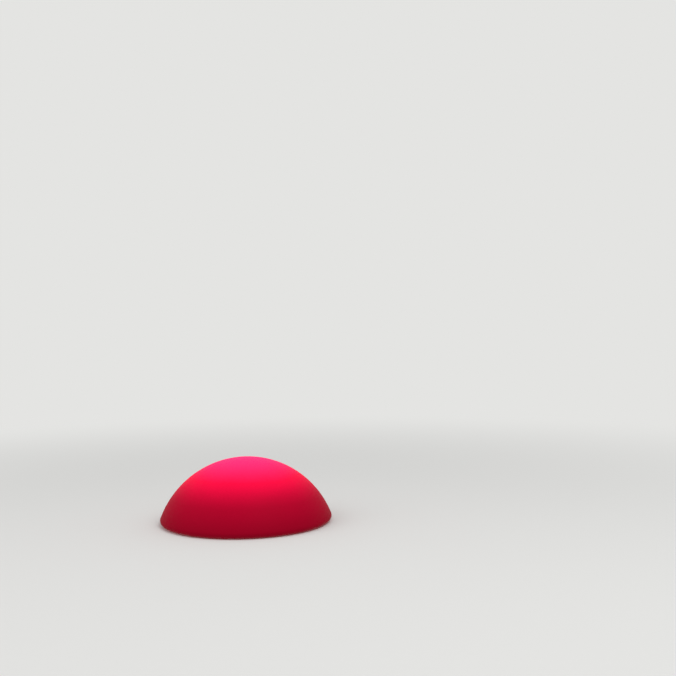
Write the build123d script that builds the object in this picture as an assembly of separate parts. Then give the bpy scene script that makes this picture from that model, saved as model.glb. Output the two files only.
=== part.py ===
# LED dome light: a low rotomoulded dome that glows all over, lit by a lamp unit that
# screws up into a threaded collar in its underside.
# Millimetres. +Z is up, the origin is on the ground below the middle of the dome.

from build123d import *
import os
from math import atan2, cos, pi, radians, sin

# Dome shell, rotomoulded polyethylene
dome_diameter = 350.0
dome_height = 130.0
shell_wall = 4.0
rim_radius = 8.0
recess_draft = 3.0
recess_edge_chamfer = 2.5

# Foot pads, pressed into pockets in the base
pad_diameter = 22.0
pad_stand = 2.0
pad_pocket_depth = 1.0
pad_play = 0.2
pad_edge = 0.6
pad_inset = 20.0
pad_count = 4

# Threaded neck of the lamp unit
neck_radius = 51.5
neck_wall = 3.0
thread_starts = 2
thread_turns = 0.75
thread_depth = 2.5
thread_crest = 1.8
thread_flank = 0.8
thread_play = 0.4
thread_tip_gap = 0.5
thread_run_in = 3.5
thread_run_out_angle = 14.0
thread_root_sink = 0.6

# Collar that carries the unit, its gasket and its screws
collar_wall = 3.6
collar_flange_thickness = 4.0
collar_edge = 1.0
collar_crown = 2.6
collar_opening_play = 1.0
gasket_thickness = 1.5
gasket_setback = 0.5
collar_screw_count = 6
collar_screw_inset = 11.0
collar_flange_margin = 7.0
recess_finger_gap = 9.0
collar_screw_radius = 2.0
collar_screw_play = 0.25
collar_screw_length = 11.0
collar_head_radius = 3.9
collar_head_height = 2.6
insert_radius = 3.5
insert_length = 9.0
insert_boss_wall = 3.0
screw_thread_fit = 0.05

# Flange of the lamp unit and the ring that seals it
unit_setback = 2.0
unit_flange_thickness = 6.0
unit_flange_margin = 4.0
unit_flange_edge = 1.2
scallop_count = 16
scallop_radius = 5.0
scallop_depth = 2.5
seal_gap = 0.5
seal_width = 3.2
seal_depth = 2.2
seal_groove_play = 0.2
seal_inset = 0.7
seal_edge = 0.8

# Finger pocket and grip bar below the unit
pocket_depth = 9.0
pocket_floor = 2.5
pocket_wall = 3.5
pocket_corner = 3.0
grip_width = 20.0
grip_wall = 2.5

# Battery
cell_diameter = 18.3
cell_length = 65.0
cell_play = 0.3
cell_contact_radius = 4.5
cell_contact_height = 0.8
cell_groove_depth = 0.8
cell_groove_offset = 3.2
strip_thickness = 0.3
strip_width = 6.0
tray_base = 1.4
tray_wall = 1.5
tray_end_gap = 0.4
strap_thickness = 1.5
strap_width = 12.0
strap_bevel = 3.6
strap_spacing = 44.0
lug_radius = 4.0
lug_height = 2.5
tray_lug_height = 4.0
strip_clearance = 0.3
strip_tab_height = 9.0
tray_boss_height = 4.5
tray_boss_radius = 3.0
small_screw_radius = 1.25
small_pilot_play = 0.05
small_hole_play = 0.35
small_head_radius = 2.6
small_head_height = 1.9
strap_screw_bite = 3.0

# Control board. A block on its top is (length, width, height, x, y)
board_length = 72.0
board_width = 36.0
board_thickness = 1.6
board_strap_gap = 2.2
spacer_height = 5.0
spacer_radius = 2.75
spacer_inset = 4.5
board_screw_bite = 3.0
inductor = (8.0, 8.0, 3.5, -16.0, 8.0)
led_driver = (6.0, 5.0, 1.2, 8.0, 10.0)
controller = (7.0, 7.0, 1.2, 14.0, -6.0)
charger = (5.0, 4.0, 1.2, -12.0, -9.0)
radio = (10.0, 14.0, 2.2, 26.0, 2.0)
connector = (5.0, 8.0, 4.2, -28.0, -2.0)
capacitor_radius = 2.5
capacitor_height = 4.2
capacitor_places = ((-4.0, 9.0), (-25.0, 9.0))

# Heat spreader, LED board and clear lens
spreader_thickness = 2.0
spreader_play = 0.3
led_board_gap = 2.6
led_board_thickness = 1.6
led_size = 5.0
led_height = 1.5
led_inner_count = 6
led_inner_radius = 13.0
led_outer_count = 12
led_outer_inset = 11.0
led_screw_count = 3
led_screw_inset = 4.5
led_screw_bite = 1.7
led_lead_hole = 4.0
lens_gasket_thickness = 1.0
lens_flange_thickness = 2.5
lens_flange_play = 0.5
lens_side_height = 15.0
lens_side_lean = 5.0
lens_shoulder = 3.5
lens_crown = 1.5
lens_wall = 1.8
lens_screw_count = 4
lens_screw_inset = 6.0
lens_post_radius = 3.2
lens_screw_bite = 9.0
lens_pilot_spare = 1.9
lens_head_gap = 0.5

# Charging socket and its rubber plug
jack_wall_gap = 5.0
jack_radius = 5.5
jack_length = 14.0
jack_flange_radius = 7.0
jack_flange_thickness = 1.5
jack_bore_radius = 3.2
jack_bore_depth = 10.5
jack_pin_radius = 1.0
jack_pin_recess = 1.0
jack_pin_tip = 0.25
panel_hole_play = 0.1
jack_nut_width = 14.0
jack_nut_height = 2.5
tag_size = 2.0
tag_height = 3.5
tag_thickness = 0.5
plug_cap_radius = 7.5
plug_cap_thickness = 2.0
plug_cap_edge = 0.5
plug_stub_radius = 2.6
plug_stub_depth = 2.5
plug_stub_hole = 1.7
plug_strap_width = 5.0
plug_strap_thickness = 1.2
plug_hinge_reach = 3.0
plug_hinge_gap = 0.4
plug_anchor_reach = 6.5
plug_anchor_radius = 3.4
plug_stem_radius = 1.5
plug_head_radius = 2.3
plug_tab_length = 4.0
plug_tab_width = 6.0

# Push switch
switch_wall_gap = 5.5
switch_radius = 6.0
switch_length = 15.0
switch_bezel_radius = 8.5
switch_bezel_thickness = 1.5
switch_bezel_edge = 0.5
switch_nut_width = 15.0
switch_nut_height = 3.0
button_radius = 4.5
button_play = 0.1
button_proud = 2.0
button_travel = 1.5
button_edge = 0.8
button_foot_radius = 5.1
button_foot_height = 1.5
button_lip = 3.0

# Charging indicator
indicator_gap = 5.0
indicator_step = 3.0
indicator_radius = 1.6
indicator_flange_radius = 2.5
indicator_flange_thickness = 1.0
indicator_edge = 0.5
indicator_length = 8.0

# Flat leads inside the unit
lead_width = 2.8
lead_thickness = 1.4
lead_bend_radius = 1.6
lead_clearance = 0.6
battery_lead_offset = 6.0

# Heights, from the ground up
land_z = pad_stand
crown_z = land_z + dome_height
unit_low_z = land_z + unit_setback
unit_flange_z = unit_low_z + unit_flange_thickness
collar_low_z = unit_flange_z + seal_gap
collar_flange_z = collar_low_z + collar_flange_thickness
panel_low_z = collar_flange_z + gasket_thickness
panel_top_z = panel_low_z + shell_wall
pocket_z = unit_low_z + pocket_depth
floor_z = pocket_z + pocket_floor
cell_radius = cell_diameter / 2
cell_z = floor_z + tray_base + cell_play + cell_radius
tray_seat_z = floor_z + tray_boss_height
tray_rim_z = tray_seat_z + tray_lug_height
strap_z = cell_z + cell_radius + cell_play + strap_thickness
board_z = strap_z + board_strap_gap
board_top_z = board_z + board_thickness
spreader_z = board_top_z + spacer_height
neck_top_z = spreader_z + spreader_thickness
lens_flange_z = neck_top_z + lens_gasket_thickness
lens_seat_z = lens_flange_z + lens_flange_thickness

# Thread
thread_root = thread_crest + 2 * thread_flank
thread_pitch = 2 * (thread_crest + thread_flank + thread_play)
thread_lead = thread_pitch * thread_starts
thread_height = thread_lead * thread_turns
male_crest_radius = neck_radius + thread_depth
collar_bore_radius = male_crest_radius + thread_tip_gap
female_crest_radius = neck_radius + thread_tip_gap
female_start_z = collar_low_z + thread_run_in + thread_root / 2
male_start_z = female_start_z + thread_pitch / 2
collar_top_z = female_start_z + thread_height + thread_root / 2 + collar_crown

# Radii, from the axis out
neck_inner_radius = neck_radius - neck_wall
pocket_radius = neck_radius - pocket_wall
seal_inner_radius = collar_bore_radius + collar_edge + seal_inset
seal_outer_radius = seal_inner_radius + seal_width
unit_flange_radius = seal_outer_radius + unit_flange_margin
collar_radius = collar_bore_radius + collar_wall
opening_radius = collar_radius + collar_opening_play
collar_screw_circle = collar_radius + collar_screw_inset
collar_flange_radius = collar_screw_circle + collar_flange_margin
recess_radius = collar_flange_radius + recess_finger_gap
rim_centre_radius = dome_diameter / 2 - rim_radius
rim_centre_z = land_z + rim_radius
pad_circle = rim_centre_radius - pad_inset
lens_flange_radius = neck_radius - lens_flange_play
lens_screw_circle = neck_radius - lens_screw_inset
lens_radius = lens_screw_circle - small_head_radius - lens_head_gap
led_board_radius = lens_radius - lens_wall - led_board_gap
led_screw_circle = led_board_radius - led_screw_inset
led_outer_radius = led_board_radius - led_outer_inset
jack_offset = pocket_radius - jack_flange_radius - jack_wall_gap
plug_hinge_offset = plug_cap_radius + plug_hinge_reach
plug_anchor_offset = plug_hinge_offset + plug_anchor_reach
switch_offset = pocket_radius - switch_bezel_radius - switch_wall_gap
indicator_x = switch_bezel_radius + indicator_gap
indicator_y = switch_offset - indicator_step
cell_spacing = cell_diameter + 2 * cell_play
tray_width = cell_spacing + cell_diameter + 2 * cell_play + 2 * tray_wall
lug_offset = tray_width / 2 + lug_radius

# The sphere of the dome passes through the crown and meets the rim's rounding smoothly
rim_drop = crown_z - rim_centre_z
dome_radius = (rim_centre_radius**2 + rim_drop**2 - rim_radius**2) / (2 * (rim_drop - rim_radius))
dome_centre_z = crown_z - dome_radius

FROM_BELOW = (Align.CENTER, Align.CENTER, Align.MIN)


def disc(radius, low, high, x=0.0, y=0.0):
    return Pos(x, y, low) * Cylinder(radius, high - low, align=FROM_BELOW)


def ring(outer, inner, low, high, x=0.0, y=0.0):
    return disc(outer, low, high, x, y) - disc(inner, low, high, x, y)


def block(length, width, low, high, x=0.0, y=0.0):
    return Pos(x, y, low) * Box(length, width, high - low, align=FROM_BELOW)


def hexagon(across_flats, low, high, x=0.0, y=0.0):
    outline = RegularPolygon(across_flats / 2, 6, major_radius=False)
    return Pos(x, y, low) * extrude(outline, high - low)


def turned(points):
    """Solid of revolution about Z from (radius, height) points."""
    return revolve(Plane.XZ * make_face(Polyline(*points, close=True)), Axis.Z)


def spots(count, radius, first_angle=0.0):
    """Evenly spaced (x, y) places on a circle."""
    angles = [radians(first_angle + 360.0 * i / count) for i in range(count)]
    return [(radius * cos(a), radius * sin(a)) for a in angles]


def screw(head_radius, head_height, shank_radius, length, seat_z, x, y, points_up):
    """Cheese head on a plain shank. The head's seat is at seat_z."""
    body = disc(shank_radius, 0, length) + disc(head_radius, -head_height, 0)
    turn = 0 if points_up else 180
    return Pos(x, y, seat_z) * Rot(turn, 0, 0) * body


def group(solids):
    return Compound(children=list(solids))


def save(name, shape):
    export_step(shape, f"parts/{name}.step")


def dome_form(inset):
    """Solid bounded by the dome's outside moved inwards by inset."""
    sphere = dome_radius - inset
    corner = rim_radius - inset
    lean = atan2(rim_centre_radius, rim_centre_z - dome_centre_z)
    top = (0.0, dome_centre_z + sphere)
    middle = (sphere * sin(lean / 2), dome_centre_z + sphere * cos(lean / 2))
    meet = (sphere * sin(lean), dome_centre_z + sphere * cos(lean))
    half = (lean + pi) / 2
    turn = (rim_centre_radius + corner * sin(half), rim_centre_z + corner * cos(half))
    foot = (rim_centre_radius, rim_centre_z - corner)
    outline = ThreePointArc(top, middle, meet) + ThreePointArc(meet, turn, foot)
    outline += Polyline(foot, (0.0, foot[1]), top)
    return revolve(Plane.XZ * make_face(outline), Axis.Z)


def recess_form(grow):
    """Hollow in the base that holds the collar and the lamp unit, grown by grow."""
    low = land_z - shell_wall
    mouth = recess_radius + recess_draft
    top = panel_low_z + grow
    return turned([
        (0, low),
        (mouth + grow, low),
        (mouth + grow, land_z),
        (recess_radius + grow, top),
        (0, top),
    ])


def make_diffuser_shell():
    shell = dome_form(0) - recess_form(0)
    lip = shell.edges().filter_by(GeomType.CIRCLE).group_by(Axis.Z)[0].sort_by(SortBy.RADIUS)[0]
    shell = chamfer(lip, recess_edge_chamfer)
    shell -= dome_form(shell_wall) - recess_form(shell_wall)
    boss_radius = insert_radius + insert_boss_wall
    boss_top = panel_low_z + insert_length + insert_boss_wall
    for x, y in spots(collar_screw_count, collar_screw_circle):
        shell += disc(boss_radius, panel_low_z + shell_wall / 2, boss_top, x, y)
    for x, y in spots(collar_screw_count, collar_screw_circle):
        shell -= disc(insert_radius, panel_low_z, panel_low_z + insert_length, x, y)
    shell -= disc(opening_radius, panel_low_z - shell_wall, panel_top_z + shell_wall)
    for x, y in spots(pad_count, pad_circle, 45):
        shell -= disc(pad_diameter / 2 + pad_play, 0, land_z + pad_pocket_depth, x, y)
    return shell


def make_foot_pads():
    pads = []
    for x, y in spots(pad_count, pad_circle, 45):
        pad = disc(pad_diameter / 2, 0, pad_stand + pad_pocket_depth, x, y)
        pads.append(chamfer(pad.edges().group_by(Axis.Z)[0], pad_edge))
    return group(pads)


def make_threaded_inserts():
    low = panel_low_z
    bore = collar_screw_radius + screw_thread_fit
    return group(
        ring(insert_radius, bore, low, low + insert_length, x, y)
        for x, y in spots(collar_screw_count, collar_screw_circle)
    )


def thread_ridges(root_radius, crest_radius, start_z):
    """Trapezoid ridges on a helix, one for each start, running out at both ends."""
    outward = 1 if crest_radius > root_radius else -1
    sunk_radius = root_radius - outward * thread_root_sink
    lean = thread_flank * thread_root_sink / thread_depth
    profile = Polyline(
        (sunk_radius, -thread_root / 2 - lean),
        (sunk_radius, thread_root / 2 + lean),
        (crest_radius, thread_crest / 2),
        (crest_radius, -thread_crest / 2),
        close=True,
    )
    path = Helix(pitch=thread_lead, height=thread_height, radius=root_radius)
    ridge = Solid.sweep((Plane.XZ * make_face(profile)).face(), path, is_frenet=True)
    ridge = Pos(0, 0, start_z) * ridge
    sweep_angle = 360.0 * thread_turns
    for end_angle, inwards in ((0.0, 1), (sweep_angle, -1)):
        ridge -= run_out(sunk_radius, crest_radius, end_angle, inwards, start_z)
    return [Rot(0, 0, 360.0 * i / thread_starts) * ridge for i in range(thread_starts)]


def run_out(root_radius, crest_radius, end_angle, inwards, start_z):
    """Wedge that takes a ridge's end from its full height down to its root."""
    full_angle = radians(end_angle + inwards * thread_run_out_angle)
    end = radians(end_angle)
    a = Vector(root_radius * cos(end), root_radius * sin(end))
    b = Vector(crest_radius * cos(full_angle), crest_radius * sin(full_angle))
    along = (b - a).normalized()
    outward = 1 if crest_radius > root_radius else -1
    radial = Vector(cos(end), sin(end)) * outward
    side = radial - along * radial.dot(along)
    side = side.normalized()
    depth = 3 * thread_depth
    back = 2 * thread_depth
    corners = [
        a - along * back,
        b + along * back,
        b + along * back + side * depth,
        a - along * back + side * depth,
    ]
    wedge = make_face(Polyline(*[(c.X, c.Y) for c in corners], close=True))
    low = start_z - thread_root
    high = start_z + thread_height + thread_root
    return Pos(0, 0, low) * extrude(wedge, high - low)


def make_neck_collar():
    edge = collar_edge
    collar = turned([
        (collar_bore_radius + edge, collar_low_z),
        (collar_flange_radius - edge, collar_low_z),
        (collar_flange_radius, collar_low_z + edge),
        (collar_flange_radius, collar_flange_z),
        (collar_radius, collar_flange_z),
        (collar_radius, collar_top_z),
        (collar_bore_radius, collar_top_z),
        (collar_bore_radius, collar_low_z + edge),
    ])
    for ridge in thread_ridges(collar_bore_radius, female_crest_radius, female_start_z):
        collar += ridge
    hole = collar_screw_radius + collar_screw_play
    for x, y in spots(collar_screw_count, collar_screw_circle):
        collar -= disc(hole, collar_low_z, collar_flange_z, x, y)
    return collar


def make_collar_gasket():
    gasket = ring(collar_flange_radius - gasket_setback, opening_radius, collar_flange_z, panel_low_z)
    hole = collar_screw_radius + collar_screw_play
    for x, y in spots(collar_screw_count, collar_screw_circle):
        gasket -= disc(hole, collar_flange_z, panel_low_z, x, y)
    return gasket


def make_collar_screws():
    return group(
        screw(
            collar_head_radius, collar_head_height, collar_screw_radius,
            collar_screw_length, collar_low_z, x, y, True,
        )
        for x, y in spots(collar_screw_count, collar_screw_circle)
    )


def make_neck_seal():
    low = unit_flange_z - seal_depth
    inner = seal_inner_radius
    outer = seal_outer_radius
    return turned([
        (inner, low),
        (outer, low),
        (outer, collar_low_z - seal_edge),
        (outer - seal_edge, collar_low_z),
        (inner + seal_edge, collar_low_z),
        (inner, collar_low_z - seal_edge),
    ])


def make_unit_housing():
    edge = unit_flange_edge
    housing = turned([
        (0, unit_low_z),
        (unit_flange_radius - edge, unit_low_z),
        (unit_flange_radius, unit_low_z + edge),
        (unit_flange_radius, unit_flange_z),
        (neck_radius, unit_flange_z),
        (neck_radius, neck_top_z),
        (0, neck_top_z),
    ])
    scallop_circle = unit_flange_radius + scallop_radius - scallop_depth
    for x, y in spots(scallop_count, scallop_circle):
        housing -= disc(scallop_radius, unit_low_z, unit_flange_z, x, y)
    groove_inner = seal_inner_radius - seal_groove_play
    groove_outer = seal_outer_radius + seal_groove_play
    housing -= ring(groove_outer, groove_inner, unit_flange_z - seal_depth, unit_flange_z)
    housing -= disc(neck_inner_radius, floor_z, neck_top_z)
    housing -= finger_pockets()
    housing -= grip_core()
    for ridge in thread_ridges(neck_radius, male_crest_radius, male_start_z):
        housing += ridge
    housing += lens_posts()
    housing += tray_bosses()
    housing -= panel_holes()
    return housing


def finger_pockets():
    """The round pocket below the floor, less the bar that is left across it to turn the unit by."""
    pocket = disc(pocket_radius, unit_low_z, pocket_z)
    pocket -= block(2 * neck_radius, grip_width, unit_low_z, pocket_z)
    upright = pocket.edges().filter_by(Axis.Z)
    return fillet(upright, pocket_corner)


def grip_core():
    """Hollow inside the grip bar, open to the inside of the unit."""
    length = 2 * (pocket_radius - grip_wall) - grip_width
    return block(length, grip_width - 2 * grip_wall, unit_low_z + grip_wall, floor_z)


def lens_posts():
    """Posts along the neck's inside that carry the heat spreader and the lens screws."""
    posts = None
    keep = disc(neck_inner_radius + neck_wall / 2, floor_z - pocket_floor / 2, spreader_z)
    pilot_z = spreader_z - lens_screw_bite - lens_pilot_spare
    for x, y in spots(lens_screw_count, lens_screw_circle, 45):
        post = disc(lens_post_radius, floor_z - pocket_floor / 2, spreader_z, x, y) & keep
        post -= disc(small_screw_radius + small_pilot_play, pilot_z, spreader_z, x, y)
        posts = post if posts is None else posts + post
    return posts


def strap_places():
    return [(sx * strap_spacing / 2, sy * lug_offset) for sx in (-1, 1) for sy in (-1, 1)]


def tray_bosses():
    bosses = None
    for x, y in strap_places():
        boss = disc(tray_boss_radius, floor_z - pocket_floor / 2, tray_seat_z, x, y)
        boss -= disc(small_screw_radius + small_pilot_play, floor_z, tray_seat_z, x, y)
        bosses = boss if bosses is None else bosses + boss
    return bosses


def panel_holes():
    """Holes in the pocket's floor for the socket, switch, indicator and plug anchor."""
    places = (
        (jack_radius, 0, -jack_offset),
        (switch_radius, 0, switch_offset),
        (indicator_radius, indicator_x, indicator_y),
        (plug_stem_radius, -plug_anchor_offset, -jack_offset),
    )
    return [disc(radius + panel_hole_play, pocket_z, floor_z, x, y) for radius, x, y in places]


def strap_lug(x, y, low, high):
    """Round-ended ear that sticks out sideways from the tray or from a strap."""
    inward = lug_radius if y < 0 else -lug_radius
    root = block(2 * lug_radius, 2 * lug_radius, low, high, x, y + inward)
    return disc(lug_radius, low, high, x, y) + root


def cell_channels(play):
    """Two round bars along X where the cells lie, grown by play."""
    length = cell_length + 2 * strip_thickness + 2 * tray_end_gap
    bars = None
    for side in (-1, 1):
        bar = Rot(0, 90, 0) * Cylinder(cell_radius + play, length)
        bar = Pos(0, side * cell_spacing / 2, cell_z) * bar
        bars = bar if bars is None else bars + bar
    return bars


def make_battery_tray():
    length = cell_length + 2 * (strip_thickness + tray_end_gap + tray_wall)
    tray = block(length, tray_width, floor_z, tray_rim_z)
    for x, y in strap_places():
        tray += strap_lug(x, y, tray_seat_z, tray_rim_z)
        tray -= disc(tray_boss_radius + panel_hole_play, floor_z, tray_seat_z, x, y)
        tray -= disc(small_screw_radius + small_hole_play, tray_seat_z, tray_rim_z, x, y)
    tray -= cell_channels(cell_play)
    return tray


def make_battery_cell(side):
    can_end = cell_length / 2 - cell_contact_height
    groove = cell_groove_depth
    neck = can_end - cell_groove_offset
    can = turned([
        (0, -cell_length / 2),
        (cell_radius, -cell_length / 2),
        (cell_radius, neck),
        (cell_radius - groove, neck + groove / 2),
        (cell_radius - groove, neck + groove),
        (cell_radius, neck + 1.5 * groove),
        (cell_radius, can_end),
        (cell_contact_radius, can_end),
        (cell_contact_radius, cell_length / 2),
        (0, cell_length / 2),
    ])
    return Pos(0, side * cell_spacing / 2, cell_z) * Rot(0, 90, 0) * can


def make_nickel_strips():
    """One strip on each end of the pair, with a tab that stands up for its lead."""
    strips = []
    for end in (-1, 1):
        x = end * (cell_length + strip_thickness) / 2
        span = cell_spacing + cell_contact_radius
        low = tray_rim_z + strip_clearance
        strip = block(strip_thickness, span, low, low + strip_width, x)
        strip += block(strip_thickness, strip_width, low, strip_tab_z(), x, lead_side(end))
        strips.append(strip)
    return group(strips)


def strip_tab_z():
    return tray_rim_z + strip_clearance + strip_tab_height


def lead_side(end):
    """Where along Y the battery's lead rises at that end."""
    return end * battery_lead_offset


def make_battery_straps():
    """Two bridges over the cells, whose feet lie on the tray's lugs."""
    foot_z = tray_rim_z
    straps = []
    for side in (-1, 1):
        x = side * strap_spacing / 2
        strap = block(strap_width, tray_width, foot_z, strap_z, x)
        top_edges = strap.edges().filter_by(Axis.X).group_by(Axis.Z)[-1]
        strap = chamfer(top_edges, strap_bevel)
        for y in (-lug_offset, lug_offset):
            strap += strap_lug(x, y, foot_z, foot_z + lug_height)
            strap -= disc(small_screw_radius + small_hole_play, foot_z, foot_z + lug_height, x, y)
        strap -= cell_channels(cell_play)
        strap -= block(strap_width, cell_spacing, foot_z, cell_z, x)
        straps.append(strap)
    return group(straps)


def make_strap_screws():
    seat = tray_rim_z + lug_height
    length = lug_height + tray_lug_height + strap_screw_bite
    return group(
        screw(small_head_radius, small_head_height, small_screw_radius, length, seat, x, y, False)
        for x, y in strap_places()
    )


def spacer_places():
    x = board_length / 2 - spacer_inset
    y = board_width / 2 - spacer_inset
    return [(sx * x, sy * y) for sx in (-1, 1) for sy in (-1, 1)]


def make_control_board():
    board = block(board_length, board_width, board_z, board_top_z)
    for x, y in spacer_places():
        board -= disc(small_screw_radius + small_hole_play, board_z, board_top_z, x, y)
    return board


def make_board_parts():
    """Inductor, chips, radio daughterboard, connector and capacitors on the board's top."""
    z = board_top_z
    boxes = (inductor, led_driver, controller, charger, radio, connector)
    blocks = [block(length, width, z, z + height, x, y) for length, width, height, x, y in boxes]
    cans = [disc(capacitor_radius, z, z + capacitor_height, x, y) for x, y in capacitor_places]
    return group(blocks + cans)


def make_board_spacers():
    bore = small_screw_radius + small_pilot_play
    low = board_top_z
    return group(
        hexagon(2 * spacer_radius, low, spreader_z, x, y) - disc(bore, low, spreader_z, x, y)
        for x, y in spacer_places()
    )


def make_board_screws():
    length = board_thickness + board_screw_bite
    return group(
        screw(small_head_radius, small_head_height, small_screw_radius, length, board_z, x, y, True)
        for x, y in spacer_places()
    )


def make_heat_spreader():
    plate = disc(neck_inner_radius - spreader_play, spreader_z, neck_top_z)
    for x, y in spots(lens_screw_count, lens_screw_circle, 45):
        plate -= disc(small_screw_radius + small_hole_play, spreader_z, neck_top_z, x, y)
    for x, y in spots(led_screw_count, led_screw_circle):
        plate -= disc(small_screw_radius + small_pilot_play, spreader_z, neck_top_z, x, y)
    plate -= disc(led_lead_hole, spreader_z, neck_top_z)
    return plate


def make_led_board():
    top = neck_top_z + led_board_thickness
    board = disc(led_board_radius, neck_top_z, top)
    for x, y in spots(led_screw_count, led_screw_circle):
        board -= disc(small_screw_radius + small_hole_play, neck_top_z, top, x, y)
    return board


def make_led_chips():
    low = neck_top_z + led_board_thickness
    chips = []
    for count, radius in ((led_inner_count, led_inner_radius), (led_outer_count, led_outer_radius)):
        for i in range(count):
            chip = block(led_size, led_size, low, low + led_height, radius)
            chips.append(Rot(0, 0, 360.0 * (i + 0.5) / count) * chip)
    return group(chips)


def make_led_screws():
    seat = neck_top_z + led_board_thickness
    length = led_board_thickness + led_screw_bite
    return group(
        screw(small_head_radius, small_head_height, small_screw_radius, length, seat, x, y, False)
        for x, y in spots(led_screw_count, led_screw_circle)
    )


def make_lens_gasket():
    inner = lens_radius - lens_wall
    gasket = ring(lens_flange_radius, inner, neck_top_z, lens_flange_z)
    for x, y in spots(lens_screw_count, lens_screw_circle, 45):
        gasket -= disc(small_screw_radius + small_hole_play, neck_top_z, lens_flange_z, x, y)
    return gasket


def make_lens_cover():
    """Clear cover over the LEDs: leaning sides, a sloped shoulder, a crowned top and a flat flange."""
    side_z = lens_seat_z + lens_side_height
    side_radius = lens_radius - lens_side_lean
    top_z = side_z + lens_shoulder / 2
    top_radius = side_radius - lens_shoulder
    lens = turned([
        (0, top_z + lens_crown - lens_wall),
        (top_radius - lens_wall / 2, top_z - lens_wall),
        (side_radius - lens_wall, side_z - lens_wall / 2),
        (lens_radius - lens_wall, lens_flange_z),
        (lens_flange_radius, lens_flange_z),
        (lens_flange_radius, lens_seat_z),
        (lens_radius, lens_seat_z),
        (side_radius, side_z),
        (top_radius, top_z),
        (0, top_z + lens_crown),
    ])
    for x, y in spots(lens_screw_count, lens_screw_circle, 45):
        lens -= disc(small_screw_radius + small_hole_play, lens_flange_z, lens_seat_z, x, y)
    return lens


def make_lens_screws():
    length = lens_flange_thickness + lens_gasket_thickness + spreader_thickness + lens_screw_bite
    return group(
        screw(small_head_radius, small_head_height, small_screw_radius, length, lens_seat_z, x, y, False)
        for x, y in spots(lens_screw_count, lens_screw_circle, 45)
    )


def make_charging_jack():
    """Threaded socket body, put in from below, with a flange under the floor and two tags above."""
    y = -jack_offset
    low = pocket_z - jack_flange_thickness
    top = pocket_z + jack_length
    body = disc(jack_flange_radius, low, pocket_z, 0, y) + disc(jack_radius, pocket_z, top, 0, y)
    body -= disc(jack_bore_radius, low, low + jack_bore_depth, 0, y)
    for side in (-1, 1):
        body += block(tag_size, tag_thickness, top, top + tag_height, side * tag_size, y)
    return body


def make_jack_pin():
    low = pocket_z - jack_flange_thickness
    pin = disc(jack_pin_radius, low + jack_pin_recess, low + jack_bore_depth, 0, -jack_offset)
    return chamfer(pin.edges().group_by(Axis.Z)[0], jack_pin_tip)


def make_panel_nut(across_flats, height, radius, y):
    bore = radius + screw_thread_fit
    nut = hexagon(across_flats, floor_z, floor_z + height, 0, y)
    return nut - disc(bore, floor_z, floor_z + height, 0, y)


def make_port_plug():
    """Cap over the socket with a short hollow stub, its strap and a finger tab."""
    y = -jack_offset
    mouth = pocket_z - jack_flange_thickness
    low = mouth - plug_cap_thickness
    cap = disc(plug_cap_radius, low, mouth, 0, y)
    cap = chamfer(cap.edges().group_by(Axis.Z)[0], plug_cap_edge)
    cap += ring(plug_stub_radius, plug_stub_hole, mouth, mouth + plug_stub_depth, 0, y)
    tab = plug_cap_radius + plug_tab_length
    cap += block(tab, plug_tab_width, low, mouth, tab / 2, y)
    hinge = plug_hinge_offset - plug_hinge_gap / 2
    return cap + block(hinge, plug_strap_width, mouth - plug_strap_thickness, mouth, -hinge / 2, y)


def make_plug_anchor():
    """The strap's fixed end: a pad under the floor, and a stem with a barbed head through it."""
    x, y = -plug_anchor_offset, -jack_offset
    mouth = pocket_z - jack_flange_thickness
    low = mouth - plug_strap_thickness
    anchor = disc(plug_anchor_radius, low, pocket_z, x, y)
    anchor += disc(plug_stem_radius, pocket_z, floor_z, x, y)
    anchor += disc(plug_head_radius, floor_z, floor_z + plug_strap_thickness, x, y)
    inner = plug_hinge_offset + plug_hinge_gap / 2
    length = plug_anchor_offset - inner
    anchor += block(length, plug_strap_width, low, mouth, -inner - length / 2, y)
    return anchor


def make_switch_body():
    y = switch_offset
    low = pocket_z - switch_bezel_thickness
    top = pocket_z + switch_length
    body = disc(switch_bezel_radius, low, pocket_z, 0, y)
    body = chamfer(body.edges().group_by(Axis.Z)[0], switch_bezel_edge)
    body += disc(switch_radius, pocket_z, top, 0, y)
    chamber = low + button_lip
    body -= disc(button_radius + button_play, low, chamber, 0, y)
    chamber_top = chamber + button_foot_height + button_travel + button_play
    body -= disc(button_foot_radius + button_play, chamber, chamber_top, 0, y)
    for side in (-1, 1):
        body += block(tag_size, tag_thickness, top, top + tag_height, side * tag_size, y)
    return body


def make_button_cap():
    y = switch_offset
    low = pocket_z - switch_bezel_thickness
    chamber = low + button_lip
    cap = disc(button_radius, low - button_proud, chamber, 0, y)
    cap = chamfer(cap.edges().group_by(Axis.Z)[0], button_edge)
    return cap + disc(button_foot_radius, chamber, chamber + button_foot_height, 0, y)


def make_indicator_lamp():
    x, y = indicator_x, indicator_y
    low = pocket_z - indicator_flange_thickness
    lamp = disc(indicator_flange_radius, low, pocket_z, x, y)
    lamp = chamfer(lamp.edges().group_by(Axis.Z)[0], indicator_edge)
    return lamp + disc(indicator_radius, pocket_z, pocket_z + indicator_length, x, y)


def flat_lead(x, start_y, start_z, end_y):
    """Two-core flat lead: up from its tags, over the cells and up to the board's underside."""
    run_z = cell_z + cell_radius + lead_clearance + lead_thickness / 2
    path = FilletPolyline(
        (x, start_y, start_z),
        (x, start_y, run_z),
        (x, end_y, run_z),
        (x, end_y, board_z),
        radius=lead_bend_radius,
    )
    section = Pos(x, start_y, start_z) * Rectangle(lead_width, lead_thickness)
    return sweep(section, path=path)


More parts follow.
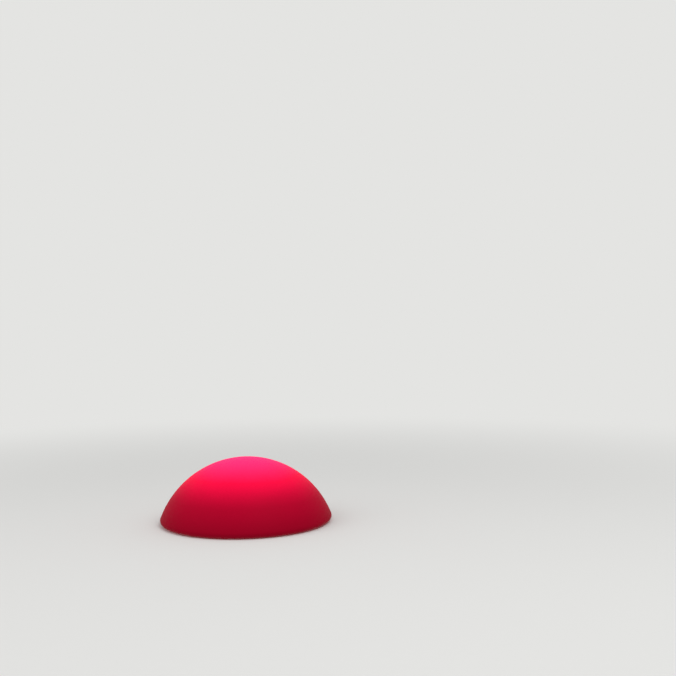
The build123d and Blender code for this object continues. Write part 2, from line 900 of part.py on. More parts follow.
def make_panel_leads():
    board_edge = board_width / 2 - lead_width
    jack_top = pocket_z + jack_length + tag_height
    switch_top = pocket_z + switch_length + tag_height
    indicator_top = pocket_z + indicator_length
    return group([
        flat_lead(0, -jack_offset, jack_top, -board_edge),
        flat_lead(0, switch_offset, switch_top, board_edge),
        flat_lead(indicator_x, indicator_y, indicator_top, board_edge),
    ])


def make_battery_leads():
    leads = []
    for end in (-1, 1):
        x = end * (cell_length + lead_thickness) / 2
        leads.append(block(lead_thickness, lead_width, strip_tab_z(), board_z, x, lead_side(end)))
    return group(leads)


def make_led_lead():
    return block(lead_width, lead_thickness, board_top_z, neck_top_z)


os.makedirs("parts", exist_ok=True)

save("diffuser_shell", make_diffuser_shell())
save("neck_collar", make_neck_collar())
save("collar_gasket", make_collar_gasket())
save("collar_screws", make_collar_screws())
save("threaded_inserts", make_threaded_inserts())
save("foot_pads", make_foot_pads())
save("neck_seal", make_neck_seal())
save("unit_housing", make_unit_housing())
save("battery_tray", make_battery_tray())
save("battery_cell_front", make_battery_cell(-1))
save("battery_cell_rear", make_battery_cell(1))
save("nickel_strips", make_nickel_strips())
save("battery_straps", make_battery_straps())
save("strap_screws", make_strap_screws())
save("control_board", make_control_board())
save("board_parts", make_board_parts())
save("board_spacers", make_board_spacers())
save("board_screws", make_board_screws())
save("heat_spreader", make_heat_spreader())
save("led_board", make_led_board())
save("led_chips", make_led_chips())
save("led_screws", make_led_screws())
save("lens_gasket", make_lens_gasket())
save("lens_cover", make_lens_cover())
save("lens_screws", make_lens_screws())
save("charging_jack", make_charging_jack())
save("jack_pin", make_jack_pin())
save("jack_nut", make_panel_nut(jack_nut_width, jack_nut_height, jack_radius, -jack_offset))
save("switch_body", make_switch_body())
save("switch_nut", make_panel_nut(switch_nut_width, switch_nut_height, switch_radius, switch_offset))
save("indicator_lamp", make_indicator_lamp())
save("panel_leads", make_panel_leads())
save("battery_leads", make_battery_leads())
save("led_lead", make_led_lead())
save("plug_anchor", make_plug_anchor())
save("button_cap", make_button_cap())
save("port_plug", make_port_plug())
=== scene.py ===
# %% [markdown]
# # A glowing dome light
# The real object is a low, hollow polyethylene dome with a lamp unit screwed up into its
# underside. A CAD model already fixes every size and place. This script loads it, gives each
# part the finish of the real material, and swaps a few plain solids for finer surfaces.

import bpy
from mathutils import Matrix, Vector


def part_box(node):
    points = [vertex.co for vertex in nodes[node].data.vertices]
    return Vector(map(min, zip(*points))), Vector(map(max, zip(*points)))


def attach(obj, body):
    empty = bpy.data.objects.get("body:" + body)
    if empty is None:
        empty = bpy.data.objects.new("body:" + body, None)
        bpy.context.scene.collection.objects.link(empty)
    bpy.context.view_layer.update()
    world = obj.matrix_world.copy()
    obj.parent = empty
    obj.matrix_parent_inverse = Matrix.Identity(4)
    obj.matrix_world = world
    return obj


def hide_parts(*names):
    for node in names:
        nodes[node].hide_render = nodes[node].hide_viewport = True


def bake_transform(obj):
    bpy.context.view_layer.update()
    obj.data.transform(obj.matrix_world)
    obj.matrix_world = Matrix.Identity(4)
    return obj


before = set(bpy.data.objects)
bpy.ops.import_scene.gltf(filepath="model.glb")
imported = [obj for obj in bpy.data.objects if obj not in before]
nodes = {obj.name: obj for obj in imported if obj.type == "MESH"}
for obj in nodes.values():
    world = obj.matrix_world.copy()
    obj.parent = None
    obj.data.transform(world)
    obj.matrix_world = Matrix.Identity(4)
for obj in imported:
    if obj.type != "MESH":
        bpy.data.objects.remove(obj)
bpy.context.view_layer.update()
print("parts loaded:", len(nodes))

# %% [markdown]
# ## Tools for the whole lesson
# Blender works in metres and the drawing of the light is in millimetres, so one constant
# turns one into the other. Shapes are worked out with numpy, as whole arrays of points.
# Where a size or a place can be read from the CAD model, it is: one function gives the
# lowest and the highest millimetre of a part along an axis.

# %% Imports and units
import math

import bmesh
import bpy
import numpy as np
from mathutils import Euler, Quaternion

MM = 0.001
X, Y, Z = 0, 1, 2


def span(node, axis):
    """Lowest and highest millimetre of a CAD part along an axis, to a thousandth."""
    low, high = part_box(node)
    return round(low[axis] / MM, 3), round(high[axis] / MM, 3)


print("the dome reaches from %.1f to %.1f mm above the ground" % span("diffuser_shell", Z))

# %% [markdown]
# ## The camera
# The view is from a little above the crown. Its height, tilt and lens came from fitting the
# outline of a dome of known diameter. The light stands low and to the left in the picture.
# The camera is turned by its tilt first and then rolled a little round its own line of sight.

# %% Camera
FOCAL_LENGTH, SENSOR_WIDTH = 53.25, 36.0
TILT_DOWN, ROLL = 1.3, -0.88

lens = bpy.data.cameras.new("Camera")
lens.lens = FOCAL_LENGTH
lens.sensor_width = SENSOR_WIDTH
camera = bpy.data.objects.new("Camera", lens)
bpy.context.scene.collection.objects.link(camera)
tilt = Euler((math.radians(90 - TILT_DOWN), 0, 0)).to_quaternion()
roll = Quaternion((0, 0, 1), math.radians(ROLL))
camera.location = (0.1937, -2.0462, 0.420)
camera.rotation_euler = (tilt @ roll).to_euler()
bpy.context.scene.camera = camera
print("camera", [round(v, 3) for v in camera.location], "lens", lens.lens, "mm")

# %% [markdown]
# ## Grids of points
# Every new surface here is one or more grids: rows of points, each row a step along the
# shape and each column a step round it. Three small functions make the rows of a turned
# part, and one sweeps them round an axis, as a lathe does. Blender's Screw modifier could
# turn a profile too, but points worked out as arrays land exactly where the drawing has
# them, and a radius may change with the angle, as it does in a thread.

# %% Profiles and turning


def arc(centre, radius, start, end, count):
    """Points of a rounded corner in the (r, z) half plane.

    r = centre_r + radius sin a, z = centre_z + radius cos a, a in degrees from straight up.
    """
    a = np.radians(np.linspace(start, end, count))
    return np.column_stack([centre[0] + radius * np.sin(a), centre[1] + radius * np.cos(a)])


def outer_corner(r, z, radius, count, top=False):
    """Quarter of a circle that rounds off the outer corner (r, z) at a part's foot or its top."""
    if top:
        return arc((r - radius, z - radius), radius, 90, 0, count)
    return arc((r - radius, z + radius), radius, 180, 90, count)


def run(start, end, count):
    """count points spread evenly along the straight line from start to end."""
    return np.linspace(start, end, count)


def turned(profile, columns, centre=(0.0, 0.0)):
    """Surface of revolution: (x0 + r cos b, y0 + r sin b, z) for b once round the circle."""
    r, z = np.asarray(profile, float).T
    b = 2 * np.pi * np.arange(columns + 1) / columns
    x = centre[0] + np.outer(r, np.cos(b))
    y = centre[1] + np.outer(r, np.sin(b))
    return np.stack([x, y, np.repeat(z[:, None], columns + 1, 1)], -1)


# %% [markdown]
# ## From grids to one skin
# The grids of one piece share their edges. They are joined into a single closed skin by
# merging points that coincide, and then the faces are made to point outwards. Edges that
# turn by more than a set angle stay crisp, and everything else is shaded smooth.

# %% Skin
MERGE, SLIVER = 0.002 * MM, 0.001 * MM
CRISP = 32.0


def skin(name, grids):
    """Makes one mesh object from grids of points in millimetres, one quad for each cell."""
    points, quads, first = [], [], 0
    for grid in grids:
        rows, columns = grid.shape[:2]
        corner = first + np.arange((rows - 1) * columns).reshape(rows - 1, columns)[:, :-1].ravel()
        quads.append(np.column_stack([corner, corner + 1, corner + columns + 1, corner + columns]))
        points.append(grid.reshape(-1, 3))
        first += rows * columns
    points, quads = np.concatenate(points) * MM, np.concatenate(quads)
    mesh = bpy.data.meshes.new(name)
    mesh.vertices.add(len(points))
    mesh.vertices.foreach_set("co", points.ravel())
    mesh.loops.add(quads.size)
    mesh.loops.foreach_set("vertex_index", quads.ravel())
    mesh.polygons.add(len(quads))
    mesh.polygons.foreach_set("loop_start", np.arange(0, quads.size, 4))
    mesh.update(calc_edges=True)
    work = bmesh.new()
    work.from_mesh(mesh)
    bmesh.ops.remove_doubles(work, verts=work.verts, dist=MERGE)
    bmesh.ops.dissolve_degenerate(work, edges=work.edges, dist=SLIVER)
    bmesh.ops.recalc_face_normals(work, faces=work.faces)
    open_edges = sum(1 for edge in work.edges if len(edge.link_faces) != 2)
    work.to_mesh(mesh)
    work.free()
    mesh.shade_smooth()
    mesh.set_sharp_from_angle(angle=math.radians(CRISP))
    made = bpy.data.objects.new(name, mesh)
    bpy.context.scene.collection.objects.link(made)
    print(name, len(mesh.polygons), "faces,", open_edges, "open edges")
    return made


# %% [markdown]
# ## A flat ring with holes in it
# The base of the dome is a flat ring with four pockets for its feet, and the panel above it
# is a ring with six holes. A Boolean modifier could cut them, but it leaves long thin faces
# that shade badly. A grid of circles can't bend round a hole either, so the ring is cut
# into sectors, one for each hole. In a sector, rays run from the hole's edge to the
# sector's edge, and the grid's rows step outwards along them.

# %% Ring with holes


def places_round(circle, count, first=0.0):
    """count places (circle cos a, circle sin a), evenly spaced from the angle first in degrees."""
    a = np.radians(first + 360.0 * np.arange(count) / count)
    return circle * np.column_stack([np.cos(a), np.sin(a)])


def pierced_ring(inner, outer, holes, z, columns, rows=9, side_points=25, crowding=1.5):
    """Grids of a flat ring from radius inner to outer, and the closed loop round each hole.

    holes gives the radius of the circle that they lie on, how many there are, the angle of
    the first and their own radius. A point is (1 - t) h + t e, where e lies on the sector's
    edge, h is where the ray from the hole's centre to e meets the hole, and t goes from 0
    to 1 along the rows, in smaller steps near the hole.
    """
    circle, count, first, hole_radius = holes
    grids, loops = [], []
    t = np.linspace(0, 1, rows)[:, None, None] ** crowding
    side = np.linspace(0, 1, side_points)[1:-1]
    for i, centre in enumerate(places_round(circle, count, first)):
        middle, half = first + 360.0 * i / count, 180.0 / count
        a = np.radians(np.linspace(middle - half, middle + half, columns // count + 1))
        radius = np.concatenate([
            np.full(a.size, outer), outer + (inner - outer) * side,
            np.full(a.size, inner), inner + (outer - inner) * side, [outer],
        ])
        angle = np.concatenate([
            a, np.full(side.size, a[-1]), a[::-1], np.full(side.size, a[0]), a[:1],
        ])
        edge = np.column_stack([radius * np.cos(angle), radius * np.sin(angle)])
        ray = edge - centre
        hole = centre + hole_radius * ray / np.linalg.norm(ray, axis=1)[:, None]
        flat = (1 - t) * hole + t * edge
        grids.append(np.concatenate([flat, np.full(flat.shape[:2] + (1,), z)], -1))
        loops.append((centre, hole))
    return grids, loops


def capped(loop, start, end):
    """Grid of a round side from the height start to end, and of the flat disc that closes it."""
    centre, hole = loop
    middle = np.tile(centre, (len(hole), 1))
    rows = [(hole, start), (hole, end), (middle, end)]
    return np.stack([np.column_stack([row, np.full(len(hole), z)]) for row, z in rows])


# %% [markdown]
# ## The dome's skin
# The dome is moulded in one piece by turning hot powder in a mould, which leaves a wall of
# even thickness with the same soft corner inside and out. Its outside is a piece of a
# sphere that runs smoothly into a rounded rim. The radius of the sphere follows from the
# two: it passes through the crown and touches the rim's small circle. The CAD model's mesh
# has this shape in flat facets. A Subdivision Surface modifier would smooth them but also
# shrink the dome, so the curves are worked out again on a finer grid. A hair-high ridge
# round the widest place is the line where the mould's halves met.

# %% Dome sizes in millimetres
STAND, CROWN = span("diffuser_shell", Z)
DOME_RADIUS, RIM, WALL = 175.0, 8.0, 4.0
RIM_CENTRE = (DOME_RADIUS - RIM, STAND + RIM)
rise = CROWN - RIM_CENTRE[1]
SPHERE = (RIM_CENTRE[0] ** 2 + rise**2 - RIM**2) / (2 * (rise - RIM))
SPHERE_Z = CROWN - SPHERE
LEAN = math.degrees(math.atan2(RIM_CENTRE[0], RIM_CENTRE[1] - SPHERE_Z))
print("sphere radius", round(SPHERE, 2), "mm, centre", round(SPHERE_Z, 2), "mm")
print("the sphere meets the rim", round(LEAN, 1), "degrees from the crown")

# %% [markdown]
# Underneath, a recess with a bevelled mouth leads up to a flat panel. The recess leans
# outwards a little, so that it comes off the mould. The panel has a round opening for the
# lamp unit, and six bosses round it hold brass inserts for the collar's screws. The base
# has four round pockets for the feet.

# %% Sizes of the base
FOOT_COUNT, FIRST_FOOT = 4, 45.0
FOOT, FOOT_PLAY, FOOT_INSET = 11.0, 0.2, 20.0
FOOT_CIRCLE = RIM_CENTRE[0] - FOOT_INSET
FOOT_TOP = span("foot_pads", Z)[1]

SCREW_COUNT, INSERT, BOSS_WALL = 6, 3.5, 3.0
SCREW_CIRCLE = span("threaded_inserts", X)[1] - INSERT
PANEL, INSERT_TOP = span("threaded_inserts", Z)

OPENING_INSET, RECESS_MARGIN = 10.0, 16.0
DRAFT, BEVEL = 3.0, 2.5
PANEL_OPENING = SCREW_CIRCLE - OPENING_INSET
RECESS_TOP = SCREW_CIRCLE + RECESS_MARGIN
RECESS_MOUTH = RECESS_TOP + DRAFT
print("feet on a circle of", FOOT_CIRCLE, "mm and screws on one of", SCREW_CIRCLE, "mm")

# %% [markdown]
# A profile runs down the outside and round the rim, another up the recess, and a third
# along the inside of the wall.

# %% Profiles of the dome
LINE_WIDTH, LINE_HEIGHT = 0.45, 0.12
outside = np.concatenate([
    arc((0, SPHERE_Z), SPHERE, 0, LEAN, 72)[:-1],
    arc(RIM_CENTRE, RIM, LEAN, 180, 44),
])
over_line = (outside[:, 1] - RIM_CENTRE[1]) / LINE_WIDTH
outside[:, 0] += LINE_HEIGHT * np.exp(-(over_line**2)) * (outside[:, 0] > RIM_CENTRE[0])

recess_height = PANEL - STAND
share = BEVEL / math.hypot(DRAFT, recess_height)
recess = np.concatenate([
    [(RECESS_MOUTH + BEVEL, STAND)],
    run((RECESS_MOUTH - share * DRAFT, STAND + share * recess_height), (RECESS_TOP, PANEL), 6),
])

inner_corner = RECESS_MOUTH + WALL - DRAFT * WALL / (recess_height + WALL)
inside = np.concatenate([
    arc((0, SPHERE_Z), SPHERE - WALL, 0, LEAN, 48)[:-1],
    arc(RIM_CENTRE, RIM - WALL, LEAN, 180, 12),
    run((RIM_CENTRE[0], STAND + WALL), (inner_corner, STAND + WALL), 5)[1:],
    [(RECESS_TOP + WALL, PANEL + WALL)],
])
print("profile points:", len(outside), "outside,", len(recess), "recess,", len(inside), "inside")

# %% [markdown]
# The ring of the base and both sides of the panel are pierced rings. Every grid round the
# axis has the same number of columns, so that their shared edges match point by point.

# %% Dome skin
COLUMNS = 360
pockets = (FOOT_CIRCLE, FOOT_COUNT, FIRST_FOOT, FOOT + FOOT_PLAY)
inserts = (SCREW_CIRCLE, SCREW_COUNT, 0.0, INSERT)
bosses = (SCREW_CIRCLE, SCREW_COUNT, 0.0, INSERT + BOSS_WALL)
boss_top = INSERT_TOP + BOSS_WALL
base, pocket_loops = pierced_ring(RECESS_MOUTH + BEVEL, RIM_CENTRE[0], pockets, STAND, COLUMNS)
panel_under, insert_loops = pierced_ring(PANEL_OPENING, RECESS_TOP, inserts, PANEL, COLUMNS)
panel_over, boss_loops = pierced_ring(
    PANEL_OPENING, RECESS_TOP + WALL, bosses, PANEL + WALL, COLUMNS
)
dome = skin("dome_skin", [
    turned(outside, COLUMNS),
    turned(recess, COLUMNS),
    turned([(PANEL_OPENING, PANEL), (PANEL_OPENING, PANEL + WALL)], COLUMNS),
    turned(inside, COLUMNS),
    *base,
    *panel_under,
    *panel_over,
    *[capped(loop, STAND, FOOT_TOP) for loop in pocket_loops],
    *[capped(loop, PANEL, INSERT_TOP) for loop in insert_loops],
    *[capped(loop, PANEL + WALL, boss_top) for loop in boss_loops],
])
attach(dome, "shell")
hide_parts("diffuser_shell")

# %% [markdown]
# ## Feet
# The dome rests on four moulded rubber bumpers. A real one is turned up a little at its
# edge and dished in the middle, so that it stands on a narrow ring and doesn't rock. A
# bevelled cylinder would have the edge but not the dish, and one profile gives both.

# %% Rubber feet
FOOT_EDGE, DISH_DEPTH = 1.1, 0.35
DISH_FLOOR, DISH_RIM = 5.5, 6.5
foot = np.concatenate([
    [(0, DISH_DEPTH)],
    run((DISH_FLOOR, DISH_DEPTH), (DISH_RIM, 0.0), 4),
    outer_corner(FOOT, 0.0, FOOT_EDGE, 7),
    [(FOOT, FOOT_TOP), (0, FOOT_TOP)],
])
feet_places = places_round(FOOT_CIRCLE, FOOT_COUNT, FIRST_FOOT)
feet = skin("rubber_feet", [turned(foot, 72, place) for place in feet_places])
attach(feet, "shell")
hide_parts("foot_pads")

# %% [markdown]
# ## Screws with a real drive
# A pan-head screw is a turned part, apart from two things: the socket for the key has six
# sides, and the shank carries a thread. A thread could be drawn in a bump map, but the
# shank's outline would stay straight. So both are made by letting the radius change with
# the angle. A regular hexagon of inner radius s is r = s / cos(b), with b the angle from
# the middle of its nearest side.

# %% Hexagon-socket screw
SOCKET_FLOOR, HEAD_ROUNDING, THREAD_DEPTH = 0.55, 0.35, 0.6
SOCKET_BEVEL, TIP = 0.15, 0.4
STEPS_A_TURN = 6


def hexagon_radius(across, b):
    """Radius of a hexagon at the angles b, from its width across two flat sides."""
    sector = np.mod(b + np.pi / 6, np.pi / 3) - np.pi / 6
    return across / 2 / np.cos(sector)


def socket_screw(place, seat, length, head, head_height, shank, pitch, key, up, columns):
    """Grid of a screw with its head below the seat and its shank above it, or the other way up.

    Rows run from the middle of the socket's floor, out over the head and along the shank.
    The floor lies at a share of the head's height, the head's edge is rounded by a share of
    its radius, and the thread is a share of its pitch deep. The thread's radius is
    r = shank - depth (1 - w), where w is a triangle wave of z / pitch - b / 2 pi.
    """
    b = 2 * np.pi * np.arange(columns + 1) / columns
    around = np.ones_like(b)
    key_edge, depth = hexagon_radius(key, b), THREAD_DEPTH * pitch
    rows = [(0 * b, -SOCKET_FLOOR * head_height), (key_edge, -SOCKET_FLOOR * head_height)]
    rows += [(key_edge, SOCKET_BEVEL - head_height), (key_edge + SOCKET_BEVEL, -head_height)]
    rounding = outer_corner(head, -head_height, HEAD_ROUNDING * head, 7)
    rows += [(r * around, z) for r, z in rounding]
    rows += [(head * around, 0.0)]
    for z in np.arange(0, length - pitch, pitch / STEPS_A_TURN):
        wave = np.abs(2 * np.mod(z / pitch - b / (2 * np.pi), 1.0) - 1)
        rows.append((shank - depth * (1 - wave) * min(1.0, z / pitch), z))
    rows += [((shank - depth) * around, length - TIP), (0 * b, length)]
    r = np.stack([row[0] for row in rows])
    z = np.repeat(np.array([row[1] for row in rows])[:, None], columns + 1, 1)
    return np.stack([place[0] + r * np.cos(b), place[1] + r * np.sin(b), seat + (-z if up else z)], -1)


# %% [markdown]
# Six screws hold the collar. Inside the lamp unit, smaller ones with a coarser thread hold
# the battery's straps, the two boards and the lens. The CAD model's boxes give their
# places: a corner or a side of a box, less the radius of a screw's head.

# %% Screws
COLLAR_SCREW = {"head": 3.9, "head_height": 2.6, "shank": 2.0, "pitch": 0.7, "key": 2.5}
SMALL_SCREW = {"head": 2.6, "head_height": 1.9, "shank": 1.25, "pitch": 0.9, "key": 2.0}


def screws(name, node, body, places, sizes, up, columns):
    """Screws that stand for a CAD part's. Its box gives the seat and the length of the shank."""
    low, high = span(node, Z)
    seat = high - sizes["head_height"] if up else low + sizes["head_height"]
    length = high - low - sizes["head_height"]
    grids = [socket_screw(place, seat, length, up=up, columns=columns, **sizes) for place in places]
    made = skin(name, grids)
    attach(made, body)
    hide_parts(node)
    return made


def box_corners(node):
    """The four places in the corners of a part's box."""
    x, y = (span(node, axis)[1] - SMALL_SCREW["head"] for axis in (X, Y))
    return [(x, y), (-x, y), (-x, -y), (x, -y)]


led_screw_circle = span("led_screws", X)[1] - SMALL_SCREW["head"]
small_sets = (
    ("strap_screws", box_corners("strap_screws"), True),
    ("board_screws", box_corners("board_screws"), False),
    ("lens_screws", box_corners("lens_screws"), True),
    ("led_screws", places_round(led_screw_circle, 3), True),
)
collar_places = places_round(SCREW_CIRCLE, SCREW_COUNT)
collar_screws = screws(
    "socket_screws", "collar_screws", "shell", collar_places, COLLAR_SCREW, False, 48
)
inner_screws = [
    screws("small_" + node, node, "light_unit", places, SMALL_SCREW, up, 36)
    for node, places, up in small_sets
]

# %% [markdown]
# ## The charging socket's cover
# A soft silicone plug closes the socket and hangs from a strap that ends in a round stud.
# It is one moulding, so it is one piece here.
# The cap and stud are turned, and the strap and finger tab are flat tongues. Bevelled
# boxes would do for those, but a superellipse gives a softer outline in one formula.

# %% Flat tongue


def tongue(x0, x1, y, width, low, high, power=6, steps=48):
    """Grid of a flat tongue whose outline is the superellipse |x / a| ^ p + |y / b| ^ p = 1.

    Its edge is half a circle. At the angle e from the underside, the outline is drawn in by
    h (1 - sin e) and lies h cos e below the middle, where h is half the thickness.
    """
    b = 2 * np.pi * np.arange(steps + 1) / steps
    e = np.radians(np.linspace(0, 180, 9))
    h = (high - low) / 2
    share = np.concatenate([[0, 0.5], np.ones(e.size), [0.5, 0]])
    pull = np.concatenate([[h, h], h * (1 - np.sin(e)), [h, h]])
    z = np.concatenate([[low, low], (low + high) / 2 - h * np.cos(e), [high, high]])
    along = np.sign(np.cos(b)) * np.abs(np.cos(b)) ** (2 / power)
    across = np.sign(np.sin(b)) * np.abs(np.sin(b)) ** (2 / power)
    x = (x0 + x1) / 2 + np.outer(share * ((x1 - x0) / 2 - pull), along)
    y = y + np.outer(share * (width / 2 - pull), across)
    return np.stack([x, y, np.repeat(z[:, None], steps + 1, 1)], -1)


# %% [markdown]
# The cap covers the socket's mouth, and its hollow stub grips the bore. The stud goes through a hole in the
# housing's floor, and its wider end holds it there. The tab's top lies a hair below the cap's, so that no
# two faces share a plane.

# %% Plug, strap and stud
SOCKET_Y = sum(span("charging_jack", Y)) / 2
CAP_LOW, STUB_TOP = span("port_plug", Z)
CAP, CAP_TOP = 7.5, CAP_LOW + 2.0
STUB, STUB_HOLE, HOLE_END = 2.6, 1.7, CAP_TOP + 0.4
SOFT, TIGHT = 0.6, 0.3
cap = np.concatenate([
    [(0, CAP_LOW)],
    outer_corner(CAP, CAP_LOW, SOFT, 6),
    outer_corner(CAP, CAP_TOP, TIGHT, 4, top=True),
    [(STUB, CAP_TOP), (STUB, STUB_TOP - 0.4)],
    outer_corner(STUB, STUB_TOP, TIGHT, 4, top=True),
    [(STUB_HOLE, STUB_TOP), (STUB_HOLE, HOLE_END), (0, HOLE_END)],
])

STUD_LOW, STUD_TOP = span("plug_anchor", Z)
STUD, STEM, STUD_END, STUD_EDGE = 3.4, 1.5, 2.3, 0.5
STUD_X = span("plug_anchor", X)[0] + STUD
FLOOR_TOP = span("battery_tray", Z)[0]
FLOOR_LOW = FLOOR_TOP - 2.5
stud = np.concatenate([
    [(0, STUD_LOW)],
    outer_corner(STUD, STUD_LOW, STUD_EDGE, 5),
    [(STUD, FLOOR_LOW), (STEM, FLOOR_LOW), (STEM, FLOOR_TOP), (STUD_END, FLOOR_TOP)],
    outer_corner(STUD_END, STUD_TOP, SOFT, 5, top=True),
    [(0, STUD_TOP)],
])

STRAP_WIDTH, STRAP_END = 5.0, -5.0
TAB_WIDTH, TAB_START, TAB_END = 6.0, 3.0, span("port_plug", X)[1]
HAIR = 0.05
plug = skin("charging_plug", [
    turned(cap, 64, (0.0, SOCKET_Y)),
    turned(stud, 48, (STUD_X, SOCKET_Y)),
    tongue(STUD_X - STEM, STRAP_END, SOCKET_Y, STRAP_WIDTH, STUD_LOW, CAP_TOP),
    tongue(TAB_START, TAB_END, SOCKET_Y, TAB_WIDTH, CAP_LOW, CAP_TOP - HAIR),
])
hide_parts("port_plug", "plug_anchor")
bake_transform(plug)

# %% [markdown]
# ## The push button
# A button is dished so that a fingertip finds it. A bump map could hint at the dish, but
# its rim would still look flat from the side, so the dish is in the turned profile.

# %% Push button
BUTTON_Y = sum(span("button_cap", Y)) / 2
BUTTON_LOW, BUTTON_TOP = span("button_cap", Z)
BUTTON, BUTTON_EDGE = 4.5, 0.6
FLANGE, FLANGE_LOW = 5.1, BUTTON_TOP - 1.5
button_profile = np.concatenate([
    [(0, BUTTON_LOW + 0.45)],
    run((1.0, BUTTON_LOW + 0.43), (3.3, BUTTON_LOW + 0.12), 6),
    arc((BUTTON - BUTTON_EDGE, BUTTON_LOW + BUTTON_EDGE), BUTTON_EDGE, 190, 90, 8),
    [(BUTTON, FLANGE_LOW), (FLANGE, FLANGE_LOW), (FLANGE, BUTTON_TOP), (0, BUTTON_TOP)],
])
button = skin("push_button", [turned(button_profile, 64, (0.0, BUTTON_Y))])
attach(button, "power_button")
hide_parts("button_cap")

# %% [markdown]
# ## Colours
# Designers write colours as sRGB hex values. The renderer wants linear light, so one
# function converts every hex value with the standard sRGB curve.

# %% Hex colours


def colour(hex_value):
    """Linear colour from sRGB: c / 12.92 for dark values, else ((c + 0.055) / 1.055) ** 2.4."""
    s = np.array([int(hex_value[i:i + 2], 16) / 255 for i in (1, 3, 5)])
    linear = np.where(s <= 0.04045, s / 12.92, ((s + 0.055) / 1.055) ** 2.4)
    return (*[float(v) for v in linear], 1.0)


# %% [markdown]
# ## Adding shader nodes
# A material is a small network. One function adds a node: names of sockets or their
# numbers get a value or a link, and any other name is one of the node's own settings.

# %% Node helper


def add(tree, kind, given):
    """Adds a shader node. A socket given another socket, or another node, is linked to it."""
    made = tree.nodes.new("ShaderNode" + kind)
    for name, value in given.items():
        if isinstance(name, str) and name not in made.inputs:
            setattr(made, name, value)
    for name, value in given.items():
        if isinstance(name, int) or name in made.inputs:
            value = value.outputs[0] if isinstance(value, bpy.types.Node) else value
            if isinstance(value, bpy.types.NodeSocket):
                tree.links.new(value, made.inputs[name])
            else:
                made.inputs[name].default_value = value
    return made


def begin(name, base, roughness, **more):
    """A new material with fixed values on its shader's own sockets, an underscore for a space."""
    material = bpy.data.materials.new(name)
    material.use_nodes = True
    tree = material.node_tree
    shader = tree.nodes["Principled BSDF"]
    shader.inputs["Base Color"].default_value = colour(base)
    shader.inputs["Roughness"].default_value = roughness
    for socket, value in more.items():
        shader.inputs[socket.replace("_", " ")].default_value = value
    place = add(tree, "TexCoord", {}).outputs["Object"]
    return material, tree, shader, place


print("white becomes", colour("#FFFFFF"), "and mid grey", [round(v, 3) for v in colour("#808080")])

# %% [markdown]
# ## A surface's fine texture
# Moulded plastic and rubber copy the tiny pits of their mould. The same texture both tilts
# the surface and changes how sharply it shines. A photograph of a grain could be wrapped
# round each piece, but a noise worked out in space has no seams and needs no unwrapping.
# One function adds it at a size and depth in millimetres. Noise seldom leaves 0.3 to 0.7,
# so that range is mapped onto the roughness. A real spark-eroded grain is 0.2 to 0.4 mm
# wide, which no render from a metre away can show, so it is drawn two or three times as
# coarse.

# %% Fine texture


def texture_surface(tree, shader, place, size, depth, smooth, rough):
    """Noise of a grain size and a depth in mm. Roughness runs from smooth to rough with it."""
    pits = add(tree, "TexNoise", {
        "Vector": place, "Scale": 1 / (size * MM), "Detail": 3.0, "Roughness": 0.6,
    })
    relief = add(tree, "Bump", {"Strength": 0.5, "Distance": depth * MM, "Height": pits})
    shine = add(tree, "MapRange", {
        "Value": pits, "From Min": 0.3, "From Max": 0.7, "To Min": smooth, "To Max": rough,
    })
    tree.links.new(relief.outputs[0], shader.inputs["Normal"])
    tree.links.new(shine.outputs[0], shader.inputs["Roughness"])
    return pits


def dress(material, *pieces):
    """Gives the material to pieces, each one an object made here or the name of a CAD node."""
    for piece in pieces:
        piece = nodes[piece] if isinstance(piece, str) else piece
        piece.data.materials.clear()
        piece.data.materials.append(material)
    print(material.name, "on", len(pieces), "pieces")


# %% [markdown]
# ## Rotomoulded polyethylene, lit from inside
# The dome glows because the LEDs under a clear cover light its inner wall, and the
# milky plastic spreads that light. A real render of that would need the light to bounce
# inside for a long time, so the result is worked out instead. Light falls off with the
# square of the distance, and a lamp that faces up sends less of it sideways. With d the way
# from just over the LEDs to the spot and n the dome's outward direction, the light that
# comes straight is P max(d_z, 0) (n . d) / |d| ^ 4. The light that bounces inside adds a
# part that grows from the rim up, because the narrow corner at the rim gets least of it.

# %% Light on the dome's wall
# The base colour #8A021C is painted glow, the red of the lit wall at its rim; the plastic itself is milky
# white.
glow, tree, shader, place = begin(
    "glowing_polyethylene", "#8A021C", 0.5, IOR=1.51, Specular_IOR_Level=0.015
)
LED_HEIGHT = 53.0 * MM
LED_POWER = 0.036
BOUNCE_AT_RIM, BOUNCE_ABOVE = 0.03, 0.19
BOUNCE_FROM, BOUNCE_FULL = 5.0 * MM, 52.0 * MM
ray = add(tree, "VectorMath", {"operation": "SUBTRACT", 0: place, 1: (0, 0, LED_HEIGHT)})
outward = add(tree, "VectorMath", {"operation": "SUBTRACT", 0: place, 1: (0, 0, SPHERE_Z * MM)})
outward = add(tree, "VectorMath", {"operation": "NORMALIZE", 0: outward})
rise_z = add(tree, "SeparateXYZ", {"Vector": ray}).outputs["Z"]
rise_z = add(tree, "Math", {"operation": "MAXIMUM", 0: rise_z, 1: 0.0})
facing = add(tree, "VectorMath", {"operation": "DOT_PRODUCT", 0: outward, 1: ray}).outputs["Value"]
square = add(tree, "VectorMath", {"operation": "DOT_PRODUCT", 0: ray, 1: ray}).outputs["Value"]
fourth = add(tree, "Math", {"operation": "MULTIPLY", 0: square, 1: square})
direct = add(tree, "Math", {"operation": "MULTIPLY", 0: rise_z, 1: facing})
direct = add(tree, "Math", {"operation": "DIVIDE", 0: direct, 1: fourth})
height = add(tree, "SeparateXYZ", {"Vector": place}).outputs["Z"]
bounced = add(tree, "MapRange", {
    "Value": height, "From Min": BOUNCE_FROM, "From Max": BOUNCE_FULL,
    "To Min": BOUNCE_AT_RIM, "To Max": BOUNCE_ABOVE,
})
